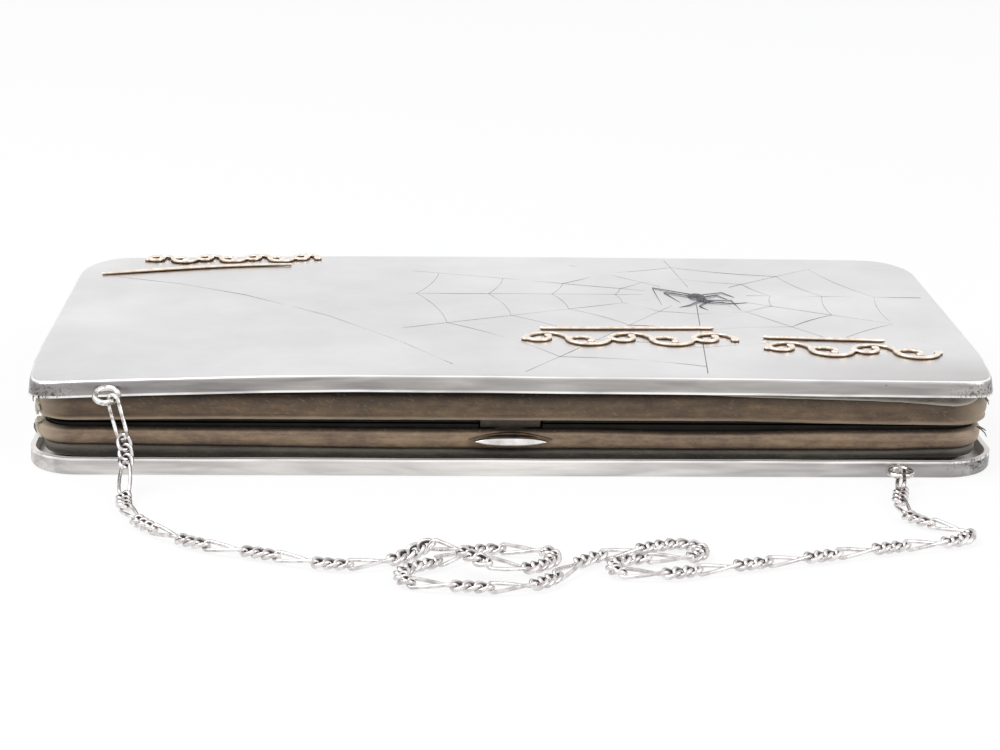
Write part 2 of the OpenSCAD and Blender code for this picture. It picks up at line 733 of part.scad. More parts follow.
// The chain's free stretch, as a plain tube along its route
module chain() {
    points = [
        for (i = [0:len(chain_route) - 1])
            let (way = route_way(chain_route, i), side = unit(cross([0, 0, 1], way)), up = cross(way, side))
            for (j = [0:chain_sides - 1])
                let (a = 360 * (j + 0.5) / chain_sides)
                chain_route[i] + chain_d / 2 * (cos(a) * side + sin(a) * up)
    ];
    color(silver) polyhedron(points = points, faces = tube_faces(len(chain_route), chain_sides));
}

module arc_stroke(centre, r, start, end) {
    translate(centre) rotate([0, 0, start])
        rotate_extrude(angle = end - start) translate([r - gold_w / 2, 0]) square([gold_w, gold_h]);
}

// One wave of a vine: half a circle of stem with a curl inside it that ends in a bud
module vine_wave(pitch) {
    r = pitch / 2;
    curl_r = r * 0.55;
    curl_at = [(r - curl_r) * cos(150), (r - curl_r) * sin(150), 0];
    bud_at = [curl_at.x + curl_r * cos(390), curl_at.y + curl_r * sin(390), 0];
    arc_stroke([0, 0, 0], r, 0, 180);
    arc_stroke(curl_at, curl_r, 150, 390);
    translate(bud_at) cylinder(r = gold_w * 0.75, h = gold_h);
}

// A vine of waves that swing to one side and the other, centred, with a leaf bud at each end
module vine(waves, pitch) {
    l = waves * pitch;
    for (i = [0:waves - 1])
        translate([(i + 0.5) * pitch - l / 2, 0, 0]) mirror([0, i % 2, 0]) vine_wave(pitch);
    for (x = [-l / 2, l / 2])
        translate([x, 0, 0]) cylinder(r = gold_w * 0.9, h = gold_h);
}

// A straight bar with pointed ends
module pointed_bar(l) {
    linear_extrude(gold_h)
        polygon([[-l / 2, 0], [-l / 2 + gold_w, gold_w / 2], [l / 2 - gold_w, gold_w / 2],
                 [l / 2, 0], [l / 2 - gold_w, -gold_w / 2], [-l / 2 + gold_w, -gold_w / 2]]);
}

// A long stroke that swells and bows like a feather, from its quill
module plume(l, bow) {
    steps = 16;
    function bow_at(t) = bow * (t - t * t) * 2;
    function half_at(t) = gold_w * (0.15 + 0.75 * sin(180 * pow(t, 0.7)));
    linear_extrude(gold_h)
        polygon(concat(
            [for (i = [0:steps]) let (t = i / steps) [l * t, bow_at(t) - half_at(t)]],
            [for (i = [steps:-1:0]) let (t = i / steps) [l * t, bow_at(t) + half_at(t)]]
        ));
}

module gold_scroll_middle() {
    l = middle_waves * scroll_pitch;
    color(gold) on_lid(middle_scroll_at.x + l / 2, middle_scroll_at.y) vine(middle_waves, scroll_pitch);
}

module gold_bar_middle() {
    l = middle_waves * scroll_pitch;
    color(gold) on_lid(middle_scroll_at.x + l / 2, middle_scroll_at.y + bar_gap)
        rotate([0, 0, -right_scroll_turn / 2]) pointed_bar(middle_bar_l);
}

module gold_scroll_right() {
    l = right_waves * scroll_pitch;
    color(gold) on_lid(right_scroll_at.x + l / 2, right_scroll_at.y)
        rotate([0, 0, right_scroll_turn]) vine(right_waves, scroll_pitch);
}

module gold_bar_right() {
    color(gold) on_lid(right_scroll_at.x + right_bar_l / 2, right_scroll_at.y + bar_gap)
        rotate([0, 0, right_scroll_turn]) pointed_bar(right_bar_l);
}

module gold_scroll_left() {
    l = left_waves * left_pitch;
    color(gold) on_lid(left_scroll_at.x + l / 2, left_scroll_at.y) vine(left_waves, left_pitch);
}

module gold_plume_left() {
    color(gold) on_lid(plume_at.x + plume_l / 2, plume_at.y)
        rotate([0, 0, plume_turn]) translate([-plume_l / 2, 0, 0]) plume(plume_l, plume_bow);
}

// A low hump of a given radius and height, with a smaller flat top
module hump(r, h) {
    cylinder(r1 = r, r2 = r * 0.45, h = h);
}

// The outline of a leg from hip to knee to foot, mitred at the knee
module leg_outline(hip, knee, foot) {
    thigh = spider_leg_w / 2 * [hip.y - knee.y, knee.x - hip.x] / norm(knee - hip);
    shin = spider_leg_w / 2 * [knee.y - foot.y, foot.x - knee.x] / norm(foot - knee);
    bend = (thigh + shin) / (1 + thigh * shin / pow(spider_leg_w / 2, 2));
    polygon([hip + thigh, knee + bend, foot + shin, foot - shin, knee - bend, hip - thigh]);
}

module spider() {
    color(dark) on_lid(spider_at.x, spider_at.y) {
        hump(spider_r, spider_h);
        translate(spider_tail) hump(spider_r * 0.8, spider_h * 0.85);
        translate(spider_head) hump(spider_r * 0.45, spider_h * 0.6);
        linear_extrude(spider_leg_h)
            for (leg = spider_legs) leg_outline(leg[0], leg[1], leg[2]);
    }
}

bottom_cover();
lower_filler();
lower_board();
lower_tray();
lower_lining();
lower_frame();
hinge_pin();
elastic_band();
band_rivets();
button_plate();
push_button();
latch_bar();
latch_spring();
spring_bridge();
lower_eye();
top_cover();
upper_filler();
upper_board();
upper_tray();
upper_lining();
upper_frame();
catch_tongue();
upper_eye();
upper_end_link();
lower_end_link();
chain();
gold_scroll_left();
gold_plume_left();
gold_scroll_middle();
gold_bar_middle();
gold_scroll_right();
gold_bar_right();
spider();
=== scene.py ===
import math

import bmesh
import bpy
from mathutils import Matrix, Vector, noise


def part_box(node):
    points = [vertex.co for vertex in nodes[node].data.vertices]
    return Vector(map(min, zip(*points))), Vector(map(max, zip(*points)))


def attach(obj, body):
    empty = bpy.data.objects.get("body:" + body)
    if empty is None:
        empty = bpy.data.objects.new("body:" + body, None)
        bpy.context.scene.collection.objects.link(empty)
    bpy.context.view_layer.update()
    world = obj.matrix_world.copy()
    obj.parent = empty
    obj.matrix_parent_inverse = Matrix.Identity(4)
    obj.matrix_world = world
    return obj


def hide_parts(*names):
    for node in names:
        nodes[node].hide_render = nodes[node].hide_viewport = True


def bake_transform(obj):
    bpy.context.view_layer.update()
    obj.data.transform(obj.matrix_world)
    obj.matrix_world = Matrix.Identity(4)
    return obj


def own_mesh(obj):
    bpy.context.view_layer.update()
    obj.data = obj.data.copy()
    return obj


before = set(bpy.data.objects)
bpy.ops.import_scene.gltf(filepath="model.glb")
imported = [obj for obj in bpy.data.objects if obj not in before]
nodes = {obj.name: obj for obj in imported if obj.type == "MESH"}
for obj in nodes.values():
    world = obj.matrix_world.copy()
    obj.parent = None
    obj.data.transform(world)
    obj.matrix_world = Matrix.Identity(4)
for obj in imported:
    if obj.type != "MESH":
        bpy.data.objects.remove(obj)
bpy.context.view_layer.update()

mm = 0.001


# ---- small helpers, used by every piece

def deselectAll():
    bpy.ops.object.select_all(action="DESELECT")


def takeUp(piece):
    deselectAll()
    piece.select_set(True)
    bpy.context.view_layer.objects.active = piece


def pick(piece, kind, test):
    # selects the vertices, edges or faces that pass a test of their place or normal
    bpy.ops.mesh.select_mode(type=kind)
    bpy.ops.mesh.select_all(action="DESELECT")
    grid = bmesh.from_edit_mesh(piece.data)
    for part in {"VERT": grid.verts, "EDGE": grid.edges, "FACE": grid.faces}[kind]:
        if test(part):
            part.select_set(True)
    grid.select_flush_mode()
    bmesh.update_edit_mesh(piece.data)


def cutAcross(places, axis):
    # straight cuts through the whole piece, so that it can be bent and dented
    normal = [1.0 if axis == "XYZ"[i] else 0.0 for i in range(3)]
    for place in places:
        bpy.ops.mesh.select_all(action="SELECT")
        bpy.ops.mesh.bisect(plane_co=[n * place * mm for n in normal], plane_no=normal)


def steps(low, high, step):
    count = max(1, round((high - low) / step))
    return [low + (high - low) * i / count for i in range(count + 1)]


def addModifier(piece, kind, **settings):
    modifier = piece.modifiers.new(kind.title(), kind)
    for key, value in settings.items():
        setattr(modifier, key, value)
    takeUp(piece)
    bpy.ops.object.modifier_apply(modifier=modifier.name)


def finishPiece(piece, name, body, material, smoothBelow=35):
    takeUp(piece)
    bpy.ops.object.transform_apply(location=True, rotation=True, scale=True)
    bpy.ops.object.shade_smooth_by_angle(angle=math.radians(smoothBelow))
    piece.name = piece.data.name = name
    piece.data.materials.clear()
    piece.data.materials.append(material)
    if body:
        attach(piece, body)
    return piece


# ---- camera, at the photograph's angle

cameraView = {
    "place": (-16.80, -408.30, 119.54),  # mm
    "pitchDown": 15.6845,  # degrees
    "yawRight": 2.2248,
    "roll": 0.88693,
    "focalPixels": 2491.3,  # of the 1000 pixel wide picture
}


def makeCamera():
    pitch, yaw, roll = [math.radians(cameraView[k]) for k in ("pitchDown", "yawRight", "roll")]
    ahead = Vector((math.sin(yaw) * math.cos(pitch), math.cos(yaw) * math.cos(pitch), -math.sin(pitch)))
    level = Vector((math.cos(yaw), -math.sin(yaw), 0))
    upright = level.cross(ahead)
    right = level * math.cos(roll) + upright * math.sin(roll)
    up = upright * math.cos(roll) - level * math.sin(roll)
    data = bpy.data.cameras.new("photoCamera")
    data.sensor_fit = "HORIZONTAL"
    data.sensor_width = 36
    data.lens = 36 * cameraView["focalPixels"] / 1000
    data.clip_start = 0.01
    camera = bpy.data.objects.new("photoCamera", data)
    bpy.context.scene.collection.objects.link(camera)
    camera.matrix_world = Matrix((right, up, -ahead)).transposed().to_4x4()
    camera.location = Vector(cameraView["place"]) * mm
    bpy.context.scene.camera = camera


makeCamera()
print("camera placed")


# ---- materials

def fromHex(code):
    values = [int(code[i:i + 2], 16) / 255 for i in (1, 3, 5)]
    return [v / 12.92 if v <= 0.04045 else ((v + 0.055) / 1.055) ** 2.4 for v in values] + [1.0]


def perMm(size):
    return 1 / (size * mm)


def addNode(tree, kind, values=None, links=None, ramp=None, **settings):
    node = tree.nodes.new(kind)
    for key, value in settings.items():
        setattr(node, key, value)
    for socket, value in (values or {}).items():
        node.inputs[socket].default_value = value
    for socket, source in (links or {}).items():
        tree.links.new(source, node.inputs[socket])
    if ramp:
        while len(node.color_ramp.elements) < len(ramp):
            node.color_ramp.elements.new(0.5)
        for element, (place, code) in zip(node.color_ramp.elements, ramp):
            element.position = place
            element.color = fromHex(code)
    return node


def newMaterial(name):
    material = bpy.data.materials.new(name)
    material.use_nodes = True
    tree = material.node_tree
    tree.nodes.clear()
    return material, tree


def wornSilver(name, top, rim, ends, roughness, pitted, pitsAtLeft):
    # Sterling silver sheet, raised and hand polished: soft cloudy sheen from years of being rubbed, smeared
    # streaks along the rim, small dark pits; painted shade where the rim faces sideways and on the top near its
    # front right, painted highlights along the lip and the rounded top edge, and painted light inside the tray
    material, tree = newMaterial(name)
    place = addNode(tree, "ShaderNodeTexCoord").outputs["Object"]
    upFacing = addNode(tree, "ShaderNodeAttribute", attribute_name="upFacing").outputs["Fac"]
    apart = addNode(tree, "ShaderNodeSeparateXYZ", links={"Vector": place})
    cloud = addNode(tree, "ShaderNodeTexNoise", {"Scale": perMm(26), "Detail": 5.0, "Roughness": 0.62},
                    {"Vector": place})
    topTone = addNode(tree, "ShaderNodeValToRGB", links={"Fac": cloud.outputs["Fac"]}, ramp=top)
    # painted shade: the top's tone is greyed toward #a9a5a3 near its front at the right end
    near = addNode(tree, "ShaderNodeMapRange", {"From Min": -0.025, "From Max": -0.037}, {"Value": apart.outputs["Y"]})
    rightEnd = addNode(tree, "ShaderNodeMapRange", {"From Min": 0.03, "From Max": 0.07, "To Max": 0.55},
                       {"Value": apart.outputs["X"]})
    paintedShadeNearRight = addNode(tree, "ShaderNodeMath", links={0: near.outputs[0], 1: rightEnd.outputs[0]}, operation="MULTIPLY")
    topTone = addNode(tree, "ShaderNodeMix", {7: fromHex("#a9a5a3")},
                      {0: paintedShadeNearRight.outputs[0], 6: topTone.outputs[0]}, data_type="RGBA")
    # painted shade: where the rim faces sideways it takes the rim ramp's darker greys, standing in for the darker room
    # it reflects; the smeared streaks in it are the sheet's own, and the ends ramp shifts it along the case
    drawn = addNode(tree, "ShaderNodeMapping", {"Scale": (0.12, 1.0, 1.0)}, {"Vector": place})
    smear = addNode(tree, "ShaderNodeTexNoise", {"Scale": perMm(1.6), "Detail": 4.0, "Distortion": 0.5},
                    {"Vector": drawn.outputs[0]})
    along = addNode(tree, "ShaderNodeMapRange", {"From Min": -0.076, "From Max": 0.076},
                    {"Value": apart.outputs["X"]})
    shift = addNode(tree, "ShaderNodeValToRGB", links={"Fac": along.outputs[0]}, ramp=ends)
    spread = addNode(tree, "ShaderNodeMapRange", {"From Min": 0.3, "From Max": 0.7, "To Min": -0.15, "To Max": 0.15},
                     {"Value": smear.outputs["Fac"]})
    shifted = addNode(tree, "ShaderNodeMath", links={0: spread.outputs[0], 1: shift.outputs[0]})
    rimTone = addNode(tree, "ShaderNodeValToRGB", links={"Fac": shifted.outputs[0]}, ramp=rim)
    # painted highlight: a near-white line along the rim's lip, standing in for the white floor it reflects, broken up
    # by the smear streaks
    lip = addNode(tree, "ShaderNodeAttribute", attribute_name="fromLip")
    paintedLipHighlight = addNode(tree, "ShaderNodeMapRange", {"From Min": 0.26, "From Max": 0.42, "To Min": 1.0,
                                                    "To Max": 0.0}, {"Value": lip.outputs["Fac"]})
    streakStrength = addNode(tree, "ShaderNodeMapRange", {"From Min": 0.36, "From Max": 0.55, "To Min": 0.45},
                      {"Value": smear.outputs["Fac"]})
    paintedLipHighlight = addNode(tree, "ShaderNodeMath", links={0: paintedLipHighlight.outputs[0], 1: streakStrength.outputs[0]},
                       operation="MULTIPLY")
    rimTone = addNode(tree, "ShaderNodeMix", {7: fromHex("#fffdfa")},
                      {0: paintedLipHighlight.outputs[0], 6: rimTone.outputs[0]}, data_type="RGBA", clamp_factor=True)
    # painted shade: the tone turns from the top's to the darker rim's as the face turns from up to sideways
    upward = addNode(tree, "ShaderNodeMapRange", {"From Min": 0.35, "From Max": 0.95},
                     {"Value": upFacing})
    tone = addNode(tree, "ShaderNodeMix", links={0: upward.outputs[0], 6: rimTone.outputs[2],
                                                 7: topTone.outputs[2]}, data_type="RGBA")
    # painted highlight: a white line where the top rounds over into the rim, broken up by the smear streaks
    edge = addNode(tree, "ShaderNodeValToRGB", links={"Fac": upFacing},
                   ramp=[(0.62, "#000000"), (0.7, "#ffffff"), (0.8, "#ffffff"), (0.88, "#000000")])
    paintedEdgeHighlight = addNode(tree, "ShaderNodeMath", links={0: edge.outputs[0], 1: streakStrength.outputs[0]},
                        operation="MULTIPLY")
    tone = addNode(tree, "ShaderNodeMix", {7: fromHex("#ffffff")},
                   {0: paintedEdgeHighlight.outputs[0], 6: tone.outputs[2]}, data_type="RGBA", clamp_factor=True)
    reach = addNode(tree, "ShaderNodeMath", {1: -pitsAtLeft}, {0: apart.outputs["X"]}, operation="MULTIPLY")
    reach = addNode(tree, "ShaderNodeMath", links={0: apart.outputs["X"], 1: reach.outputs[0]},
                    operation="MAXIMUM")
    corner = addNode(tree, "ShaderNodeMapRange", {"From Min": 0.066, "From Max": 0.0735},
                     {"Value": reach.outputs[0]})
    aside = addNode(tree, "ShaderNodeMath", links={0: apart.outputs["Y"]}, operation="ABSOLUTE")
    endways = addNode(tree, "ShaderNodeMapRange", {"From Min": 0.026, "From Max": 0.035},
                      {"Value": aside.outputs[0]})
    corner = addNode(tree, "ShaderNodeMath", links={0: corner.outputs[0], 1: endways.outputs[0]},
                     operation="MULTIPLY")
    lowDown = addNode(tree, "ShaderNodeMapRange", {"From Min": 0.7, "From Max": 2.2, "To Min": 1.0, "To Max": 0.4},
                      {"Value": lip.outputs["Fac"]})
    corner = addNode(tree, "ShaderNodeMath", links={0: corner.outputs[0], 1: lowDown.outputs[0]},
                     operation="MULTIPLY")
    grit = addNode(tree, "ShaderNodeTexNoise", {"Scale": perMm(0.42), "Detail": 3.0, "Roughness": 0.7},
                   {"Vector": place})
    gritCut = addNode(tree, "ShaderNodeMapRange", {"From Min": 0.55, "From Max": 0.58},
                      {"Value": grit.outputs["Fac"]})
    sideways = addNode(tree, "ShaderNodeMath", {0: 1.0}, {1: upward.outputs[0]}, operation="SUBTRACT")
    cornerRim = addNode(tree, "ShaderNodeMath", links={0: corner.outputs[0], 1: sideways.outputs[0]},
                        operation="MULTIPLY")
    cornerPits = addNode(tree, "ShaderNodeMath", links={0: gritCut.outputs[0], 1: cornerRim.outputs[0]},
                         operation="MULTIPLY")
    holes = addNode(tree, "ShaderNodeTexVoronoi", {"Scale": perMm(3.6)}, {"Vector": place})
    chance = addNode(tree, "ShaderNodeSeparateXYZ", links={"Vector": holes.outputs["Color"]})
    size = addNode(tree, "ShaderNodeMapRange", {"From Min": 0.62, "From Max": 1.0, "To Max": pitted},
                   {"Value": chance.outputs["X"]})
    within = addNode(tree, "ShaderNodeMath", links={0: holes.outputs["Distance"], 1: size.outputs[0]},
                     operation="LESS_THAN")
    dots = addNode(tree, "ShaderNodeMath", links={0: within.outputs[0], 1: sideways.outputs[0]},
                   operation="MULTIPLY")
    pits = addNode(tree, "ShaderNodeMath", links={0: cornerPits.outputs[0], 1: dots.outputs[0]},
                   operation="MAXIMUM")
    wornAndPaintedLight = addNode(tree, "ShaderNodeMix", {7: fromHex("#1f1c1a")},
                   {0: pits.outputs[0], 6: tone.outputs[2]}, data_type="RGBA")
    gloss = addNode(tree, "ShaderNodeMapRange", {"From Min": 0.3, "From Max": 0.7,
                                                 "To Min": roughness - 0.05, "To Max": roughness + 0.08},
                    {"Value": cloud.outputs["Fac"]})
    scratch = addNode(tree, "ShaderNodeMapping", {"Rotation": (0.0, 0.0, 0.5), "Scale": (0.04, 1.0, 1.0)},
                      {"Vector": place})
    scratches = addNode(tree, "ShaderNodeTexNoise", {"Scale": perMm(0.45), "Detail": 2.0},
                        {"Vector": scratch.outputs[0]})
    fine = addNode(tree, "ShaderNodeBump", {"Strength": 0.1, "Distance": 0.00002},
                   {"Height": scratches.outputs["Fac"]})
    dents = addNode(tree, "ShaderNodeBump", {"Strength": 0.35, "Distance": 0.0001},
                    {"Height": cloud.outputs["Fac"], "Normal": fine.outputs[0]})
    pitBump = addNode(tree, "ShaderNodeBump", {"Strength": 0.7, "Distance": 0.0001},
                      {"Height": pits.outputs[0], "Normal": dents.outputs[0]}, invert=True)
    # painted light: inside the bottom tray the tone is lightened toward a pale grey and made less metallic, so that it
    # looks lit where it lies in shade
    within = addNode(tree, "ShaderNodeAttribute", attribute_name="within")
    dulled = addNode(tree, "ShaderNodeMapRange", {"To Min": 1.0, "To Max": 0.1}, {"Value": within.outputs["Fac"]})
    paintedLightInTray = addNode(tree, "ShaderNodeMapRange", {"To Max": 0.85}, {"Value": within.outputs["Fac"]})
    wornAndPaintedLight = addNode(tree, "ShaderNodeMix", {7: fromHex("#f6f4f1")},
                   {0: paintedLightInTray.outputs[0], 6: wornAndPaintedLight.outputs[2]}, data_type="RGBA")
    shader = addNode(tree, "ShaderNodeBsdfPrincipled", links={
        "Base Color": wornAndPaintedLight.outputs[2], "Roughness": gloss.outputs[0], "Normal": pitBump.outputs[0],
        "Metallic": dulled.outputs[0]})
    addNode(tree, "ShaderNodeOutputMaterial", links={"Surface": shader.outputs[0]})
    return material


def plainMetal(name, tones, roughness, grain, depth):
    # cast or drawn metal: two tones that change over a few millimetres, and a fine worn grain
    material, tree = newMaterial(name)
    place = addNode(tree, "ShaderNodeTexCoord").outputs["Object"]
    cloud = addNode(tree, "ShaderNodeTexNoise", {"Scale": perMm(grain), "Detail": 4.0, "Roughness": 0.6},
                    {"Vector": place})
    tone = addNode(tree, "ShaderNodeValToRGB", links={"Fac": cloud.outputs["Fac"]}, ramp=tones)
    gloss = addNode(tree, "ShaderNodeMapRange", {"From Min": 0.3, "From Max": 0.7,
                                                 "To Min": roughness - 0.06, "To Max": roughness + 0.1},
                    {"Value": cloud.outputs["Fac"]})
    bump = addNode(tree, "ShaderNodeBump", {"Strength": 0.5, "Distance": depth * mm},
                   {"Height": cloud.outputs["Fac"]})
    shader = addNode(tree, "ShaderNodeBsdfPrincipled", {"Metallic": 1.0},
                     {"Base Color": tone.outputs[0], "Roughness": gloss.outputs[0],
                      "Normal": bump.outputs[0]})
    addNode(tree, "ShaderNodeOutputMaterial", links={"Surface": shader.outputs[0]})
    return material


def chainSilver(name):
    # Sterling wire links, tumbled against each other: bright rubbed outsides, and insides darkened where they hook,
    # painted shade with some tarnish
    material, tree = newMaterial(name)
    place = addNode(tree, "ShaderNodeTexCoord").outputs["Object"]
    cloud = addNode(tree, "ShaderNodeTexNoise", {"Scale": perMm(1.4), "Detail": 3.0}, {"Vector": place})
    rubbed = addNode(tree, "ShaderNodeValToRGB", links={"Fac": cloud.outputs["Fac"]},
                     ramp=[(0.35, "#bdb8b7"), (0.6, "#ece8e7")])
    # painted shade with some tarnish: each link's inner faces are darkened toward #544c4b
    inside = addNode(tree, "ShaderNodeAttribute", attribute_name="insideLink")
    shade = addNode(tree, "ShaderNodeMapRange", {"From Min": 0.5, "From Max": 0.85},
                    {"Value": inside.outputs["Fac"]})
    tone = addNode(tree, "ShaderNodeMix", {7: fromHex("#544c4b")},
                   {0: shade.outputs[0], 6: rubbed.outputs[0]}, data_type="RGBA")
    gloss = addNode(tree, "ShaderNodeMapRange", {"To Min": 0.2, "To Max": 0.5}, {"Value": shade.outputs[0]})
    shader = addNode(tree, "ShaderNodeBsdfPrincipled", {"Metallic": 1.0},
                     {"Base Color": tone.outputs[2], "Roughness": gloss.outputs[0]})
    addNode(tree, "ShaderNodeOutputMaterial", links={"Surface": shader.outputs[0]})
    return material


def goldWithPaintedFootShade(name):
    # Rose gold sheet, sawn out and polished: pale rubbed tops and upper sides, and the sawn sides darkened
    # to brown toward their foot, painted shade where they stand on the lid
    material, tree = newMaterial(name)
    place = addNode(tree, "ShaderNodeTexCoord").outputs["Object"]
    cloud = addNode(tree, "ShaderNodeTexNoise", {"Scale": perMm(1.1), "Detail": 4.0}, {"Vector": place})
    face = addNode(tree, "ShaderNodeValToRGB", links={"Fac": cloud.outputs["Fac"]},
                   ramp=[(0.35, "#ecdccb"), (0.5, "#f8ecdf"), (0.65, "#fffaf2")])
    rise = addNode(tree, "ShaderNodeAttribute", attribute_name="riseShare")
    # painted shade: the sides darken to brown toward their foot on the lid
    foot = addNode(tree, "ShaderNodeValToRGB", links={"Fac": rise.outputs["Fac"]},
                   ramp=[(0.0, "#3a2f26"), (0.35, "#5f4e3e"), (0.55, "#c3b19d"), (0.72, "#ffffff")])
    tone = addNode(tree, "ShaderNodeMix", {0: 1.0}, {6: face.outputs[0], 7: foot.outputs[0]}, data_type="RGBA",
                   blend_type="MULTIPLY")
    gloss = addNode(tree, "ShaderNodeMapRange", {"To Min": 0.5, "To Max": 0.24}, {"Value": rise.outputs["Fac"]})
    bump = addNode(tree, "ShaderNodeBump", {"Strength": 0.35, "Distance": 0.00004},
                   {"Height": cloud.outputs["Fac"]})
    shader = addNode(tree, "ShaderNodeBsdfPrincipled", {"Metallic": 1.0},
                     {"Base Color": tone.outputs[2], "Roughness": gloss.outputs[0],
                      "Normal": bump.outputs[0]})
    addNode(tree, "ShaderNodeOutputMaterial", links={"Surface": shader.outputs[0]})
    return material


def calfLeather(name, tones, rubbedAndLitTone, rubbedAndLitLine, shade=((0, "#ffffff"), (1, "#ffffff"))):
    # Calf leather, smooth grained and showing wear: pores and scuffs under 1 mm, rubbed streaks along the band, a
    # paler line along its turned edge (rubbed wear with painted highlight), painted shade over its height where it
    # lies under the lid or by a gap, and a painted highlight on its rounded ends
    material, tree = newMaterial(name)
    place = addNode(tree, "ShaderNodeTexCoord").outputs["Object"]
    streaked = addNode(tree, "ShaderNodeMapping", {"Scale": (0.07, 0.3, 1.0)}, {"Vector": place})
    streak = addNode(tree, "ShaderNodeTexNoise", {"Scale": perMm(1.3), "Detail": 5.0, "Roughness": 0.68},
                     {"Vector": streaked.outputs[0]})
    scuffed = addNode(tree, "ShaderNodeMapping", {"Scale": (0.4, 0.6, 1.0)}, {"Vector": place})
    scuff = addNode(tree, "ShaderNodeTexNoise", {"Scale": perMm(1.1), "Detail": 6.0, "Roughness": 0.72},
                    {"Vector": scuffed.outputs[0]})
    patch = addNode(tree, "ShaderNodeTexNoise", {"Scale": perMm(9), "Detail": 4.0}, {"Vector": place})
    blend = addNode(tree, "ShaderNodeMix", {0: 0.45}, {2: streak.outputs["Fac"], 3: patch.outputs["Fac"]})
    blend = addNode(tree, "ShaderNodeMix", {0: 0.42}, {2: blend.outputs[0], 3: scuff.outputs["Fac"]})
    tone = addNode(tree, "ShaderNodeValToRGB", links={"Fac": blend.outputs[0]}, ramp=tones)
    # painted shade: the tone is multiplied by the shade ramp over the wall's height, darker under the lid and toward
    # the gaps
    height = addNode(tree, "ShaderNodeAttribute", attribute_name="heightShare")
    shading = addNode(tree, "ShaderNodeValToRGB", links={"Fac": height.outputs["Fac"]}, ramp=list(shade))
    shaded = addNode(tree, "ShaderNodeMix", {0: 1.0}, {6: tone.outputs[0], 7: shading.outputs[0]},
                     data_type="RGBA", blend_type="MULTIPLY")
    # rubbed wear and painted highlight: a paler line at the heights its ramp gives, broken up by the streaks
    lip = addNode(tree, "ShaderNodeValToRGB", links={"Fac": height.outputs["Fac"]}, ramp=rubbedAndLitLine)
    streakStrength = addNode(tree, "ShaderNodeMapRange", {"From Min": 0.35, "From Max": 0.6, "To Min": 0.4},
                      {"Value": streak.outputs["Fac"]})
    rubbed = addNode(tree, "ShaderNodeMath", links={0: lip.outputs[0], 1: streakStrength.outputs[0]},
                     operation="MULTIPLY")
    wornAndPaintedLight = addNode(tree, "ShaderNodeMix", {7: fromHex(rubbedAndLitTone)},
                   {0: rubbed.outputs[0], 6: shaded.outputs[2]}, data_type="RGBA")
    pores = addNode(tree, "ShaderNodeTexVoronoi", {"Scale": perMm(0.55)}, {"Vector": place})
    slanted = addNode(tree, "ShaderNodeMapping", {"Rotation": (0.0, 0.5, 0.0), "Scale": (3.0, 1.5, 1.0)},
                      {"Vector": place}, vector_type="TEXTURE")
    speck = addNode(tree, "ShaderNodeTexNoise", {"Scale": perMm(0.25), "Detail": 2.0}, {"Vector": slanted.outputs[0]})
    flecks = addNode(tree, "ShaderNodeMapRange", {"From Min": 0.6, "From Max": 0.75, "To Max": 0.22},
                     {"Value": speck.outputs["Fac"]})
    apart = addNode(tree, "ShaderNodeSeparateXYZ", links={"Vector": place})
    # painted highlight: the rounded ends of the band, from 68.5 mm out, are lightened toward the pale tone
    endways = addNode(tree, "ShaderNodeMath", links={0: apart.outputs["X"]}, operation="ABSOLUTE")
    paintedEndHighlight = addNode(tree, "ShaderNodeMapRange", {"From Min": 0.0685, "From Max": 0.0735, "To Max": 0.45},
                     {"Value": endways.outputs[0]})
    flecks = addNode(tree, "ShaderNodeMath", links={0: flecks.outputs[0], 1: paintedEndHighlight.outputs[0]},
                     operation="MAXIMUM")
    flecksAndEndHighlight = addNode(tree, "ShaderNodeMix", {7: fromHex(rubbedAndLitTone)},
                      {0: flecks.outputs[0], 6: wornAndPaintedLight.outputs[2]}, data_type="RGBA")
    grain = addNode(tree, "ShaderNodeBump", {"Strength": 0.35, "Distance": 0.00006},
                    {"Height": pores.outputs["Distance"]})
    creases = addNode(tree, "ShaderNodeBump", {"Strength": 0.6, "Distance": 0.0002},
                      {"Height": streak.outputs["Fac"], "Normal": grain.outputs[0]})
    shader = addNode(tree, "ShaderNodeBsdfPrincipled", {"Roughness": 0.5, "Sheen Weight": 0.08},
                     {"Base Color": flecksAndEndHighlight.outputs[2], "Normal": creases.outputs[0]})
    addNode(tree, "ShaderNodeOutputMaterial", links={"Surface": shader.outputs[0]})
    return material


def wovenCloth(name, tones, rib, along):
    # Silk or elastic webbing, woven in fine ribs: a rib every fraction of a millimetre along one axis
    material, tree = newMaterial(name)
    place = addNode(tree, "ShaderNodeTexCoord").outputs["Object"]
    ribs = addNode(tree, "ShaderNodeTexWave", {"Scale": perMm(rib) * math.pi / 10, "Distortion": 0.3},
                   {"Vector": place}, bands_direction=along)
    cloud = addNode(tree, "ShaderNodeTexNoise", {"Scale": perMm(7), "Detail": 3.0}, {"Vector": place})
    blend = addNode(tree, "ShaderNodeMix", {0: 0.4}, {2: ribs.outputs["Fac"], 3: cloud.outputs["Fac"]})
    tone = addNode(tree, "ShaderNodeValToRGB", links={"Fac": blend.outputs[0]}, ramp=tones)
    bump = addNode(tree, "ShaderNodeBump", {"Strength": 0.5, "Distance": 0.0001},
                   {"Height": ribs.outputs["Fac"]})
    shader = addNode(tree, "ShaderNodeBsdfPrincipled", {"Roughness": 0.6, "Sheen Weight": 0.3},
                     {"Base Color": tone.outputs[0], "Normal": bump.outputs[0]})
    addNode(tree, "ShaderNodeOutputMaterial", links={"Surface": shader.outputs[0]})
    return material


